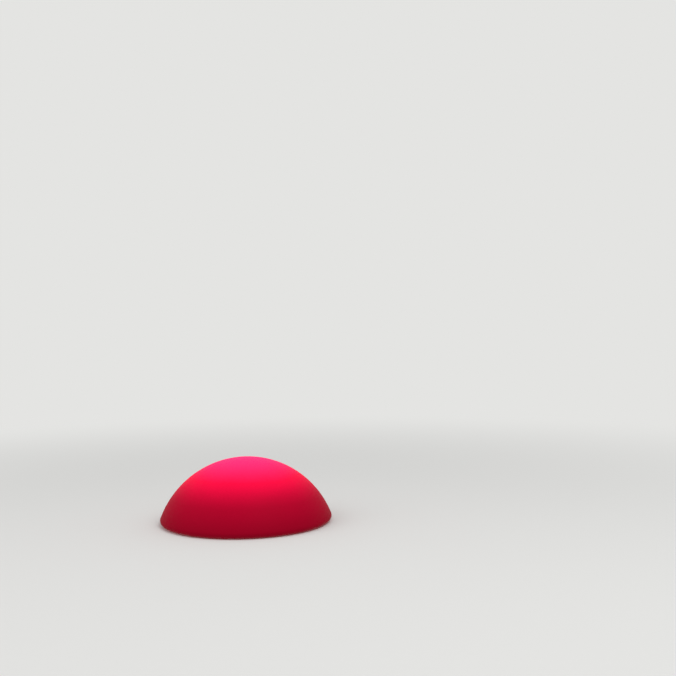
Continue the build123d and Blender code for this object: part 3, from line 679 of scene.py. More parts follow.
light = add(tree, "Math", {"operation": "MULTIPLY_ADD", 0: direct, 1: LED_POWER, 2: bounced})
crown_light = BOUNCE_ABOVE + LED_POWER / (CROWN * MM - LED_HEIGHT) ** 2
print("light at the crown is", round(crown_light, 2), "times what full red needs")

# %% [markdown]
# The wall isn't quite even, because grains of powder melt onto the mould in their own way.
# The light drifts by a few percent over some centimetres, and there is a fine speckle on
# top. A real grain is about half a millimetre wide, too fine to show here, so the speckle
# is drawn at 2.8 mm.

# %% Uneven wall
DRIFT_WIDTH, DRIFT = 45.0 * MM, 0.04
GRAIN_WIDTH, SPECKLE = 2.8 * MM, 0.06
cloud = add(tree, "TexNoise", {
    "Vector": place, "Scale": 1 / DRIFT_WIDTH, "Detail": 2.0, "Roughness": 0.5,
})
cloud = add(tree, "MapRange", {
    "Value": cloud, "From Min": 0.25, "From Max": 0.75, "To Min": 1 - DRIFT, "To Max": 1 + DRIFT,
})
grain = add(tree, "TexNoise", {
    "Vector": place, "Scale": 1 / GRAIN_WIDTH, "Detail": 2.0, "Roughness": 0.5,
})
speckle = add(tree, "MapRange", {
    "Value": grain, "From Min": 0.3, "From Max": 0.7, "To Min": 1 - SPECKLE, "To Max": 1 + SPECKLE,
})
light = add(tree, "Math", {"operation": "MULTIPLY", 0: light, 1: cloud})
light = add(tree, "Math", {"operation": "MULTIPLY", 0: light, 1: speckle})

# %% [markdown]
# Then the light becomes a colour. A red light can't get brighter than full red, so it bends
# over softly near the top: a light L shows as L (1 + (L / s) ^ k) ^ (-1 / k), with the
# shoulder s and the bend k. Where there is more light still, it turns pink, as a very
# bright red does in a camera. The share of pink is 1 - exp(r (p - L)), with p the light
# where it starts and r its rate, and no pink below p.

# %% From light to colour
SHOULDER, BEND = 0.8, 6.0
PINK_FROM, PINK_RATE = 0.95, 0.62
knee = add(tree, "Math", {"operation": "DIVIDE", 0: light, 1: SHOULDER})
knee = add(tree, "Math", {"operation": "POWER", 0: knee, 1: BEND})
knee = add(tree, "Math", {"operation": "ADD", 0: knee, 1: 1.0})
knee = add(tree, "Math", {"operation": "POWER", 0: knee, 1: -1 / BEND})
soft = add(tree, "Math", {"operation": "MULTIPLY", 0: light, 1: knee})
ember = add(tree, "Mix", {"data_type": "RGBA", 0: soft, 6: (0, 0, 0, 1), 7: colour("#FF0D46")})
hot = add(tree, "Math", {"operation": "MULTIPLY_ADD", 0: light, 1: -PINK_RATE, 2: PINK_RATE * PINK_FROM})
hot = add(tree, "Math", {"operation": "MINIMUM", 0: hot, 1: 0.0})
hot = add(tree, "Math", {"operation": "EXPONENT", 0: hot})
hot = add(tree, "Math", {"operation": "SUBTRACT", 0: 1.0, 1: hot})
glowing = add(tree, "Mix", {"data_type": "RGBA", 0: hot, 6: ember.outputs[2], 7: colour("#FF327E")})
tree.links.new(glowing.outputs[2], shader.inputs["Emission Color"])
shader.inputs["Emission Strength"].default_value = 1.0

# %% [markdown]
# The room's lamps light the wall too. Its base colour is painted glow: the plastic itself is milky white,
# but it is given the deep red that the glow shows at the rim, so the lamps light it red as well. Its shine
# is kept very low, because a pale room would veil the glow with grey.
# The mould was sand-blasted, so the skin has a fine orange peel that the shine follows.

# %% Skin of the dome
peel = add(tree, "Bump", {"Strength": 0.5, "Distance": 0.15 * MM, "Height": grain})
tree.links.new(peel.outputs[0], shader.inputs["Normal"])
satin = add(tree, "MapRange", {
    "Value": grain, "From Min": 0.3, "From Max": 0.7, "To Min": 0.46, "To Max": 0.56,
})
tree.links.new(satin.outputs[0], shader.inputs["Roughness"])
dress(glow, dome, "diffuser_shell")

# %% [markdown]
# ## Moulded grey ABS
# The collar and the lamp unit's housing are injection-moulded ABS from a mould with a
# spark-eroded grain. That gives an even, quiet satin grey. The unit is turned by hand and
# set down on the ground, so its lowest faces carry fine scuffs. Noise stretched along one
# direction and cut off near its peak leaves thin, broken lines, as scuffs are.

# %% Grey ABS
abs_grey, tree, shader, place = begin("moulded_grey_abs", "#A6A7A9", 0.45, IOR=1.54)
UNIT_LOW = span("unit_housing", Z)[0]
texture_surface(tree, shader, place, 0.8, 0.03, 0.42, 0.54)
flow = add(tree, "TexNoise", {"Vector": place, "Scale": 1 / (28 * MM), "Detail": 2.0})
flow = add(tree, "MapRange", {"Value": flow, "From Min": 0.35, "From Max": 0.65})
tone = add(tree, "Mix", {"data_type": "RGBA", 0: flow, 6: colour("#A0A1A3"), 7: colour("#ABACAE")})
turned_scuffs = add(tree, "Mapping", {"Vector": place, "Rotation": (0, 0, 0.6), "Scale": (1, 0.09, 1)})
scuffs = add(tree, "TexNoise", {"Vector": turned_scuffs, "Scale": 1 / (0.9 * MM), "Detail": 2.0})
scuffs = add(tree, "MapRange", {"Value": scuffs, "From Min": 0.69, "From Max": 0.76, "To Max": 0.45})
height = add(tree, "SeparateXYZ", {"Vector": place}).outputs["Z"]
lowest = add(tree, "MapRange", {
    "Value": height, "From Min": (UNIT_LOW + 1.0) * MM, "From Max": (UNIT_LOW + 0.2) * MM,
})
scuffs = add(tree, "Math", {"operation": "MULTIPLY", 0: scuffs, 1: lowest})
tone = add(tree, "Mix", {"data_type": "RGBA", 0: scuffs, 6: tone.outputs[2], 7: colour("#D0D1D2")})
tree.links.new(tone.outputs[2], shader.inputs["Base Color"])
dress(abs_grey, "neck_collar", "unit_housing")

# %% [markdown]
# ## Moulded black ABS
# The battery tray, its straps and the body of the charging socket are black ABS from
# smoother moulds. Black plastic shows its mould flow as soft, slightly greyer clouds.

# %% Black ABS
abs_black, tree, shader, place = begin("moulded_black_abs", "#17181A", 0.4, IOR=1.54)
texture_surface(tree, shader, place, 0.6, 0.02, 0.34, 0.46)
flow = add(tree, "TexNoise", {"Vector": place, "Scale": 1 / (9 * MM), "Detail": 2.0})
flow = add(tree, "MapRange", {"Value": flow, "From Min": 0.35, "From Max": 0.7})
tone = add(tree, "Mix", {"data_type": "RGBA", 0: flow, 6: colour("#151618"), 7: colour("#222326")})
tree.links.new(tone.outputs[2], shader.inputs["Base Color"])
dress(abs_black, "battery_tray", "battery_straps", "charging_jack")

# %% [markdown]
# ## Black rubber
# The feet and the gasket are vulcanised black rubber. Its surface is dull, with a grey
# bloom in patches where wax has come out of it, and the feet pick up pale dust where they
# touch the ground.

# %% Black rubber
rubber, tree, shader, place = begin(
    "vulcanised_black_rubber", "#1A1A19", 0.8, IOR=1.52, Specular_IOR_Level=0.35
)
texture_surface(tree, shader, place, 0.9, 0.05, 0.7, 0.88)
bloom = add(tree, "TexNoise", {"Vector": place, "Scale": 1 / (7 * MM), "Detail": 4.0})
bloom = add(tree, "MapRange", {"Value": bloom, "From Min": 0.45, "From Max": 0.75})
tone = add(tree, "Mix", {"data_type": "RGBA", 0: bloom, 6: colour("#1A1A19"), 7: colour("#31302E")})
height = add(tree, "SeparateXYZ", {"Vector": place}).outputs["Z"]
grit = add(tree, "TexNoise", {"Vector": place, "Scale": 1 / (1.2 * MM), "Detail": 3.0})
dust = add(tree, "MapRange", {"Value": height, "From Min": 0.9 * MM, "From Max": 0.0, "To Max": 0.7})
dust = add(tree, "Math", {"operation": "MULTIPLY", 0: dust, 1: grit})
tone = add(tree, "Mix", {"data_type": "RGBA", 0: dust, 6: tone.outputs[2], 7: colour("#8C867C")})
tree.links.new(tone.outputs[2], shader.inputs["Base Color"])
dress(rubber, feet, "collar_gasket")

# %% [markdown]
# ## Silicone seals
# The ring round the neck and the gasket under the lens are natural silicone, a milky grey
# rubber that lets a little light in before it scatters back out. Without that subsurface
# light it would look like chalk. It is smooth and slightly tacky, so it holds specks of
# dust. Voronoi cells, cut off close to their middle, are specks.

# %% Silicone
silicone, tree, shader, place = begin(
    "milky_silicone", "#B7B8B5", 0.35, IOR=1.41, Subsurface_Weight=0.3, Subsurface_Scale=1.5 * MM
)
texture_surface(tree, shader, place, 1.5, 0.03, 0.3, 0.42)
specks = add(tree, "TexVoronoi", {"Vector": place, "Scale": 1 / (3.5 * MM)}).outputs["Distance"]
specks = add(tree, "MapRange", {"Value": specks, "From Min": 0.09, "From Max": 0.05, "To Max": 0.8})
tone = add(tree, "Mix", {"data_type": "RGBA", 0: specks, 6: colour("#B7B8B5"), 7: colour("#6E6B65")})
tree.links.new(tone.outputs[2], shader.inputs["Base Color"])
dress(silicone, "neck_seal", "lens_gasket")

# %% [markdown]
# The socket's cover is silicone too, but filled with grey pigment, so no light gets in. Its
# mould was blasted with glass beads, which leaves it matt, and lint shows as pale specks.

# %% Grey silicone
cover, tree, shader, place = begin("matt_grey_silicone", "#2A2B2E", 0.6, IOR=1.41)
texture_surface(tree, shader, place, 0.5, 0.03, 0.52, 0.68)
lint = add(tree, "TexVoronoi", {"Vector": place, "Scale": 1 / (2.2 * MM)}).outputs["Distance"]
lint = add(tree, "MapRange", {"Value": lint, "From Min": 0.09, "From Max": 0.04, "To Max": 0.45})
tone = add(tree, "Mix", {"data_type": "RGBA", 0: lint, 6: colour("#2A2B2E"), 7: colour("#77777A")})
tree.links.new(tone.outputs[2], shader.inputs["Base Color"])
dress(cover, plug, "port_plug", "plug_anchor")

# %% [markdown]
# ## The button
# The button is black polyester plastic with the same fine grain all over when new.
# Fingertips polish its middle, so the roughness there is lower. A Mapping node moves the
# pattern's zero point to the middle of the button.

# %% Button plastic
pressed, tree, shader, place = begin("fingertip_polished_plastic", "#141416", 0.45, IOR=1.57)
POLISHED, UNTOUCHED = 1.5 * MM, 4.3 * MM
pits = texture_surface(tree, shader, place, 0.4, 0.02, 0.4, 0.5)
middle = add(tree, "Mapping", {
    "Vector": place, "Location": (0, -BUTTON_Y * MM, 0), "Scale": (1, 1, 0),
})
away = add(tree, "VectorMath", {"operation": "LENGTH", 0: middle}).outputs["Value"]
rubbed = add(tree, "MapRange", {
    "interpolation_type": "SMOOTHSTEP", "Value": away,
    "From Min": POLISHED, "From Max": UNTOUCHED, "To Min": 0.24, "To Max": 0.46,
})
uneven = add(tree, "Math", {"operation": "MULTIPLY_ADD", 0: pits, 1: 0.12, 2: rubbed})
tree.links.new(uneven.outputs[0], shader.inputs["Roughness"])
tone = add(tree, "MapRange", {"Value": away, "From Min": POLISHED, "From Max": UNTOUCHED})
tone = add(tree, "Mix", {"data_type": "RGBA", 0: tone, 6: colour("#1B1B1E"), 7: colour("#141416")})
tree.links.new(tone.outputs[2], shader.inputs["Base Color"])
dress(pressed, button, "button_cap")

# %% [markdown]
# ## Metals
# A metal has no colour of its own under the shine: its base colour is the colour of its
# reflections. What tells one metal part from another is how it was made. Screws and the
# switch are turned or drawn stainless steel, with fine lines along them. An anisotropic
# shine could stand for those lines from afar, but drawn as relief they show close up too.

# %% Stainless steel
steel, tree, shader, place = begin("drawn_stainless_steel", "#BDBBB7", 0.3, Metallic=1.0)
lengthways = add(tree, "Mapping", {"Vector": place, "Scale": (1, 1, 0.12)})
lines = add(tree, "TexNoise", {"Vector": lengthways, "Scale": 1 / (0.35 * MM), "Detail": 3.0})
relief = add(tree, "Bump", {"Strength": 0.4, "Distance": 0.01 * MM, "Height": lines})
tree.links.new(relief.outputs[0], shader.inputs["Normal"])
shine = add(tree, "MapRange", {
    "Value": lines, "From Min": 0.3, "From Max": 0.7, "To Min": 0.25, "To Max": 0.35,
})
tree.links.new(shine.outputs[0], shader.inputs["Roughness"])
tone = add(tree, "Mix", {"data_type": "RGBA", 0: lines, 6: colour("#B6B4B0"), 7: colour("#C6C4C0")})
tree.links.new(tone.outputs[2], shader.inputs["Base Color"])
dress(steel, collar_screws, *inner_screws, "switch_body")
dress(steel, "collar_screws", "strap_screws", "board_screws", "led_screws", "lens_screws")

# %% [markdown]
# Nickel plate is smoother and warmer. The plating clouds a little, so its roughness drifts
# over a few millimetres.

# %% Nickel plate
nickel, tree, shader, place = begin("nickel_plate", "#C9C4B8", 0.22, Metallic=1.0)
clouds = add(tree, "TexNoise", {"Vector": place, "Scale": 1 / (4 * MM), "Detail": 3.0})
shine = add(tree, "MapRange", {
    "Value": clouds, "From Min": 0.3, "From Max": 0.7, "To Min": 0.14, "To Max": 0.34,
})
tree.links.new(shine.outputs[0], shader.inputs["Roughness"])
tone = add(tree, "Mix", {"data_type": "RGBA", 0: clouds, 6: colour("#BEB8AA"), 7: colour("#D3CFC5")})
tree.links.new(tone.outputs[2], shader.inputs["Base Color"])
dress(nickel, "nickel_strips", "jack_nut", "switch_nut")

# %% [markdown]
# Brass inserts and spacers are turned from bar and left bare, so they tarnish: brown
# patches a few millimetres wide that shine less than the clean metal.

# %% Brass
brass, tree, shader, place = begin("bare_turned_brass", "#D8BD79", 0.3, Metallic=1.0)
tarnish = add(tree, "TexNoise", {"Vector": place, "Scale": 1 / (2.5 * MM), "Detail": 4.0})
tarnish = add(tree, "MapRange", {"Value": tarnish, "From Min": 0.5, "From Max": 0.72})
tone = add(tree, "Mix", {"data_type": "RGBA", 0: tarnish, 6: colour("#D8BD79"), 7: colour("#9A7A48")})
tree.links.new(tone.outputs[2], shader.inputs["Base Color"])
shine = add(tree, "MapRange", {"Value": tarnish, "To Min": 0.24, "To Max": 0.48})
tree.links.new(shine.outputs[0], shader.inputs["Roughness"])
dress(brass, "threaded_inserts", "board_spacers", "jack_pin")

# %% [markdown]
# The heat spreader is a disc stamped from rolled aluminium sheet. Rolling leaves long fine
# lines in one direction. White thermal paste has squeezed out a little round the edge of
# the LED board. Its outline is a circle whose radius wanders with a noise.

# %% Rolled aluminium with thermal paste
sheet, tree, shader, place = begin("rolled_aluminium", "#CFD1D3", 0.35)
PASTE_EDGE, PASTE_WANDER = 39.7, 2.6
rolled = add(tree, "Mapping", {"Vector": place, "Scale": (0.03, 1, 1)})
lines = add(tree, "TexNoise", {"Vector": rolled, "Scale": 1 / (0.5 * MM), "Detail": 3.0})
relief = add(tree, "Bump", {"Strength": 0.3, "Distance": 0.01 * MM, "Height": lines})
tree.links.new(relief.outputs[0], shader.inputs["Normal"])
tone = add(tree, "Mix", {"data_type": "RGBA", 0: lines, 6: colour("#C2C4C6"), 7: colour("#DADCDE")})
flat = add(tree, "VectorMath", {"operation": "MULTIPLY", 0: place, 1: (1, 1, 0)})
radius = add(tree, "VectorMath", {"operation": "LENGTH", 0: flat}).outputs["Value"]
wander = add(tree, "TexNoise", {"Vector": place, "Scale": 1 / (4 * MM), "Detail": 3.0})
edge = add(tree, "Math", {"operation": "MULTIPLY_ADD", 0: wander, 1: PASTE_WANDER * MM, 2: radius})
paste = add(tree, "MapRange", {
    "Value": edge, "From Min": PASTE_EDGE * MM, "From Max": (PASTE_EDGE - 0.2) * MM,
})
tone = add(tree, "Mix", {"data_type": "RGBA", 0: paste, 6: tone.outputs[2], 7: colour("#E6E6E2")})
tree.links.new(tone.outputs[2], shader.inputs["Base Color"])
metal = add(tree, "Math", {"operation": "SUBTRACT", 0: 1.0, 1: paste})
tree.links.new(metal.outputs[0], shader.inputs["Metallic"])
shine = add(tree, "MapRange", {
    "Value": lines, "From Min": 0.3, "From Max": 0.7, "To Min": 0.28, "To Max": 0.44,
})
tree.links.new(shine.outputs[0], shader.inputs["Roughness"])
dress(sheet, "heat_spreader")

# %% [markdown]
# ## Battery cells
# Each cell is a steel can in a shrunk-on PVC sleeve. The sleeve is glossy and puckers near
# its ends. The ends show the plated can, with a ring of white insulating paper round it.
# They could be discs of their own. Here the shader paints them by place: past the sleeve's
# end, and within a radius of the cell's axis. Both cells lie along X, mirrored about the
# middle, so the absolute value of Y serves both.

# %% Shrink sleeve
sleeve, tree, shader, place = begin("shrink_sleeve_pvc", "#1F5791", 0.2, IOR=1.53)
CELL, PAPER, CAN = 9.15, 7.9, 5.6
CELL_Y = sum(span("battery_cell_rear", Y)) / 2
CELL_Z = span("battery_cell_rear", Z)[0] + CELL
END_FACE = span("battery_cell_rear", X)[1] - 0.1
mirrored = add(tree, "VectorMath", {"operation": "ABSOLUTE", 0: place})
axes = add(tree, "SeparateXYZ", {"Vector": mirrored})
across = add(tree, "Math", {"operation": "SUBTRACT", 0: axes.outputs["Y"], 1: CELL_Y * MM})
above = add(tree, "Math", {"operation": "SUBTRACT", 0: axes.outputs["Z"], 1: CELL_Z * MM})
off_axis = add(tree, "CombineXYZ", {"X": across, "Y": above})
off_axis = add(tree, "VectorMath", {"operation": "LENGTH", 0: off_axis}).outputs["Value"]
end = add(tree, "Math", {"operation": "GREATER_THAN", 0: axes.outputs["X"], 1: END_FACE * MM})
inner = add(tree, "Math", {"operation": "LESS_THAN", 0: off_axis, 1: PAPER * MM})
core = add(tree, "Math", {"operation": "LESS_THAN", 0: off_axis, 1: CAN * MM})
paper = add(tree, "Math", {"operation": "MULTIPLY", 0: end, 1: inner})
can = add(tree, "Math", {"operation": "MULTIPLY", 0: end, 1: core})
clouds = add(tree, "TexNoise", {"Vector": place, "Scale": 1 / (6 * MM), "Detail": 2.0})
tone = add(tree, "Mix", {"data_type": "RGBA", 0: clouds, 6: colour("#1A4E86"), 7: colour("#24609C")})
tone = add(tree, "Mix", {"data_type": "RGBA", 0: paper, 6: tone.outputs[2], 7: colour("#E2E0D8")})
tone = add(tree, "Mix", {"data_type": "RGBA", 0: can, 6: tone.outputs[2], 7: colour("#C4C1BA")})
tree.links.new(tone.outputs[2], shader.inputs["Base Color"])
tree.links.new(can.outputs[0], shader.inputs["Metallic"])
pucker = add(tree, "MapRange", {
    "Value": axes.outputs["X"], "From Min": (END_FACE - 5.4) * MM, "From Max": (END_FACE - 0.4) * MM,
})
lengthways = add(tree, "Mapping", {"Vector": place, "Scale": (0.2, 1, 1)})
folds = add(tree, "TexNoise", {"Vector": lengthways, "Scale": 1 / (1.4 * MM), "Detail": 2.0})
folds = add(tree, "Math", {"operation": "MULTIPLY", 0: folds, 1: pucker})
relief = add(tree, "Bump", {"Strength": 0.6, "Distance": 0.12 * MM, "Height": folds})
tree.links.new(relief.outputs[0], shader.inputs["Normal"])
shine = add(tree, "MapRange", {
    "Value": clouds, "From Min": 0.3, "From Max": 0.7, "To Min": 0.14, "To Max": 0.28,
})
tree.links.new(shine.outputs[0], shader.inputs["Roughness"])
dress(sleeve, "battery_cell_front", "battery_cell_rear")

# %% [markdown]
# ## Circuit boards
# A board is glass cloth in yellowish resin, with copper tracks under a glossy green mask.
# The tracks show through the mask as paler lines. Two brick patterns, one turned by a
# quarter, give long straight tracks with square corners. The cut sides stay resin-coloured.

# %% Green circuit board
board, tree, shader, place = begin("green_solder_mask", "#0F4A2C", 0.25, IOR=1.5)
TRACK_WIDTH = 0.35
quarter = add(tree, "Mapping", {"Vector": place, "Rotation": (0, 0, math.pi / 2)})
tracks = []
for vector, length, pitch in ((place, 11.0, 2.3), (quarter, 7.0, 3.1)):
    tracks.append(add(tree, "TexBrick", {
        "Vector": vector, "Scale": 1 / MM, "Brick Width": length, "Row Height": pitch,
        "Mortar Size": TRACK_WIDTH, "Mortar Smooth": 0.1,
        "Color1": (0, 0, 0, 1), "Color2": (0, 0, 0, 1), "Mortar": (1, 1, 1, 1),
    }))
both = add(tree, "Math", {"operation": "MAXIMUM", 0: tracks[0].outputs["Fac"], 1: tracks[1].outputs["Fac"]})
patch = add(tree, "TexNoise", {"Vector": place, "Scale": 1 / (9 * MM), "Detail": 1.0})
patch = add(tree, "MapRange", {"Value": patch, "From Min": 0.42, "From Max": 0.45})
both = add(tree, "Math", {"operation": "MULTIPLY", 0: both, 1: patch})
tone = add(tree, "Mix", {"data_type": "RGBA", 0: both, 6: colour("#0F4A2C"), 7: colour("#23754A")})
normal = add(tree, "TexCoord", {}).outputs["Normal"]
facing = add(tree, "SeparateXYZ", {"Vector": normal}).outputs["Z"]
facing = add(tree, "Math", {"operation": "ABSOLUTE", 0: facing})
cut = add(tree, "Math", {"operation": "LESS_THAN", 0: facing, 1: 0.5})
tone = add(tree, "Mix", {"data_type": "RGBA", 0: cut, 6: tone.outputs[2], 7: colour("#B9AE79")})
tree.links.new(tone.outputs[2], shader.inputs["Base Color"])
relief = add(tree, "Bump", {"Strength": 0.5, "Distance": 0.04 * MM, "Height": both})
tree.links.new(relief.outputs[0], shader.inputs["Normal"])
shine = add(tree, "MapRange", {"Value": cut, "To Min": 0.22, "To Max": 0.7})
tree.links.new(shine.outputs[0], shader.inputs["Roughness"])
dress(board, "control_board")

# %% [markdown]
# The LED board has a white mask that throws the light back up. Its tracks run in rings,
# and they show as faint grey lines. The rings of a wave texture lie pi / (10 scale) apart,
# so the scale follows from their pitch.

# %% White LED board
white, tree, shader, place = begin("white_solder_mask", "#ECECE8", 0.3, IOR=1.5)
RING_PITCH = 3.5 * MM
rings = add(tree, "TexWave", {
    "Vector": place, "wave_type": "RINGS", "rings_direction": "Z", "Scale": math.pi / (10 * RING_PITCH),
})
rings = add(tree, "MapRange", {"Value": rings.outputs["Fac"], "From Min": 0.93, "From Max": 0.97})
tone = add(tree, "Mix", {"data_type": "RGBA", 0: rings, 6: colour("#ECECE8"), 7: colour("#D3D4CE")})
tree.links.new(tone.outputs[2], shader.inputs["Base Color"])
relief = add(tree, "Bump", {"Strength": 0.5, "Distance": 0.04 * MM, "Height": rings})
tree.links.new(relief.outputs[0], shader.inputs["Normal"])
mask_grain = add(tree, "TexNoise", {"Vector": place, "Scale": 1 / (2 * MM), "Detail": 2.0})
shine = add(tree, "MapRange", {
    "Value": mask_grain, "From Min": 0.3, "From Max": 0.7, "To Min": 0.24, "To Max": 0.38,
})
tree.links.new(shine.outputs[0], shader.inputs["Roughness"])
dress(white, "led_board")

# %% [markdown]
# ## LEDs
# Each LED is a white package with a round window of clear resin. A small disc on each one
# would do, but the shader can draw the window once it knows how far a point is from its
# own LED's middle. The LEDs stand on two circles, six on the inner and twelve on the
# outer, so the angle is folded into one sector and the nearest circle's radius is taken
# off. Lit red, as the dome is, the window glows.

# %% LED windows
leds, tree, shader, place = begin("lit_led_package", "#E6E4DC", 0.35, IOR=1.5)
INNER_CIRCLE, OUTER_CIRCLE = 13.0, 27.0
INNER_SECTOR, OUTER_SECTOR = 2 * math.pi / 6, 2 * math.pi / 12
LED_TOP = span("led_chips", Z)[1]
WINDOW = 1.8
axes = add(tree, "SeparateXYZ", {"Vector": place})
angle = add(tree, "Math", {"operation": "ARCTAN2", 0: axes.outputs["Y"], 1: axes.outputs["X"]})
flat = add(tree, "VectorMath", {"operation": "MULTIPLY", 0: place, 1: (1, 1, 0)})
radius = add(tree, "VectorMath", {"operation": "LENGTH", 0: flat}).outputs["Value"]
outer = add(tree, "Math", {
    "operation": "GREATER_THAN", 0: radius, 1: (INNER_CIRCLE + OUTER_CIRCLE) / 2 * MM,
})
circle = add(tree, "Math", {
    "operation": "MULTIPLY_ADD", 0: outer, 1: (OUTER_CIRCLE - INNER_CIRCLE) * MM, 2: INNER_CIRCLE * MM,
})
sector = add(tree, "Math", {
    "operation": "MULTIPLY_ADD", 0: outer, 1: OUTER_SECTOR - INNER_SECTOR, 2: INNER_SECTOR,
})
folded = add(tree, "Math", {"operation": "FLOORED_MODULO", 0: angle, 1: sector})
folded = add(tree, "Math", {"operation": "MULTIPLY_ADD", 0: sector, 1: -0.5, 2: folded})
sideways = add(tree, "Math", {"operation": "MULTIPLY", 0: folded, 1: circle})
outwards = add(tree, "Math", {"operation": "SUBTRACT", 0: radius, 1: circle})
from_middle = add(tree, "CombineXYZ", {"X": sideways, "Y": outwards})
from_middle = add(tree, "VectorMath", {"operation": "LENGTH", 0: from_middle}).outputs["Value"]
window = add(tree, "MapRange", {
    "Value": from_middle, "From Min": WINDOW * MM, "From Max": (WINDOW - 0.1) * MM,
})
top = add(tree, "MapRange", {
    "Value": axes.outputs["Z"], "From Min": (LED_TOP - 0.2) * MM, "From Max": (LED_TOP - 0.1) * MM,
})
window = add(tree, "Math", {"operation": "MULTIPLY", 0: window, 1: top})
tone = add(tree, "Mix", {"data_type": "RGBA", 0: window, 6: colour("#E6E4DC"), 7: colour("#3A2523")})
tree.links.new(tone.outputs[2], shader.inputs["Base Color"])
lit = add(tree, "Mix", {"data_type": "RGBA", 0: window, 6: (0, 0, 0, 1), 7: colour("#FF1E36")})
tree.links.new(lit.outputs[2], shader.inputs["Emission Color"])
shader.inputs["Emission Strength"].default_value = 2.0
dress(leds, "led_chips")

# %% [markdown]
# ## Chips and coils
# The parts on the control board are moulded in black epoxy. Laser marking and resin flow
# leave each face slightly mottled, and the tops are matt.

# %% Component epoxy
epoxy, tree, shader, place = begin("black_epoxy", "#19191A", 0.55, IOR=1.55)
texture_surface(tree, shader, place, 0.35, 0.02, 0.48, 0.66)
mottle = add(tree, "TexNoise", {"Vector": place, "Scale": 1 / (2.5 * MM), "Detail": 3.0})
tone = add(tree, "Mix", {"data_type": "RGBA", 0: mottle, 6: colour("#131314"), 7: colour("#29292B")})
tree.links.new(tone.outputs[2], shader.inputs["Base Color"])
dress(epoxy, "board_parts")

# %% [markdown]
# ## Clear plastic
# The lens cover is clear polycarbonate with a faint waviness from its mould. A plain
# transparent shader would be quicker, but it bends nothing. Full transmission with the
# plastic's own IOR lets all light through and bends it as the real cover does.

# %% Polycarbonate
clear_plastic, tree, shader, place = begin(
    "moulded_clear_polycarbonate", "#F4F7F8", 0.05, IOR=1.585, Transmission_Weight=1.0
)
waves = add(tree, "TexNoise", {"Vector": place, "Scale": 1 / (9 * MM), "Detail": 1.0})
relief = add(tree, "Bump", {"Strength": 0.3, "Distance": 0.06 * MM, "Height": waves})
tree.links.new(relief.outputs[0], shader.inputs["Normal"])
shine = add(tree, "MapRange", {
    "Value": waves, "From Min": 0.3, "From Max": 0.7, "To Min": 0.03, "To Max": 0.09,
})
tree.links.new(shine.outputs[0], shader.inputs["Roughness"])
dress(clear_plastic, "lens_cover")

# %% [markdown]
# The indicator has a fine grain on its face, so that the small lamp behind it lights all of
# it. Most of the light scatters there, which makes it milky, and the rest goes through.

# %% Frosted polycarbonate
frosted, tree, shader, place = begin(
    "frosted_polycarbonate", "#EFF4F1", 0.4, IOR=1.585, Transmission_Weight=0.25
)
texture_surface(tree, shader, place, 0.3, 0.02, 0.34, 0.5)
dress(frosted, "indicator_lamp")

# %% [markdown]
# ## Leads
# The flat leads are two PVC-covered cores side by side, red and black, with a groove
# between them. On a lead 1.4 mm thick a bump is enough for the groove. The pair by the
# indicator lies off the middle, so its X is shifted back first. The battery's leads are
# single, red at one end and black at the other.

# %% Leads
pvc, tree, shader, place = begin("soft_lead_pvc", "#A3161A", 0.35, IOR=1.53)
INDICATOR_X, LEAD_REACH = sum(span("indicator_lamp", X)) / 2 * MM, 4 * MM
x = add(tree, "SeparateXYZ", {"Vector": place}).outputs["X"]
beside = add(tree, "Math", {"operation": "COMPARE", 0: x, 1: INDICATOR_X, 2: LEAD_REACH})
x = add(tree, "Math", {"operation": "MULTIPLY_ADD", 0: beside, 1: -INDICATOR_X, 2: x})
core = add(tree, "Math", {"operation": "GREATER_THAN", 0: x, 1: 0.0})
mottle = add(tree, "TexNoise", {"Vector": place, "Scale": 1 / (1.5 * MM), "Detail": 2.0})
dark = add(tree, "Mix", {"data_type": "RGBA", 0: mottle, 6: colour("#161617"), 7: colour("#262627")})
red = add(tree, "Mix", {"data_type": "RGBA", 0: mottle, 6: colour("#96131A"), 7: colour("#B01C1F")})
tone = add(tree, "Mix", {"data_type": "RGBA", 0: core, 6: dark.outputs[2], 7: red.outputs[2]})
tree.links.new(tone.outputs[2], shader.inputs["Base Color"])
groove = add(tree, "Math", {"operation": "ABSOLUTE", 0: x})
groove = add(tree, "MapRange", {"Value": groove, "From Min": 0.0, "From Max": 0.35 * MM})
relief = add(tree, "Bump", {"Strength": 0.8, "Distance": 0.25 * MM, "Height": groove})
tree.links.new(relief.outputs[0], shader.inputs["Normal"])
shine = add(tree, "MapRange", {"Value": mottle, "To Min": 0.28, "To Max": 0.44})
tree.links.new(shine.outputs[0], shader.inputs["Roughness"])
dress(pvc, "panel_leads", "battery_leads", "led_lead")

# %% [markdown]
# ## Floor, world and lamps
# The light stands on a plain pale floor that fades into the background a little way off.
# Seen from below, the floor lets the camera through, so that the underside can be seen.
# Right under the dome it isn't there for mirrors either, so that the metal parts of the
# underside reflect the pale room and not the dome's own dark shadow.

# %% Floor
GROUND = "#E4E4E2"
HALF_FLOOR, FADE_FROM, FADE_TO = 6.0, 0.5, 2.2
UNDER_DOME = (DOME_RADIUS + 5.0) * MM
corners = [(x * HALF_FLOOR, y * HALF_FLOOR, 0) for x, y in ((-1, -1), (1, -1), (1, 1), (-1, 1))]
floor_mesh = bpy.data.meshes.new("floor")
floor_mesh.from_pydata(corners, [], [(0, 1, 2, 3)])
floor = bpy.data.objects.new("floor", floor_mesh)
bpy.context.scene.collection.objects.link(floor)
print("floor", 2 * HALF_FLOOR, "m wide")

# %% [markdown]
# The floor's material chooses by the kind of ray. It is solid for the camera, and for
# mirrors and clear plastic beyond the dome's edge, but only from above. All other light
# goes through it, so the world lights the dome from below too.

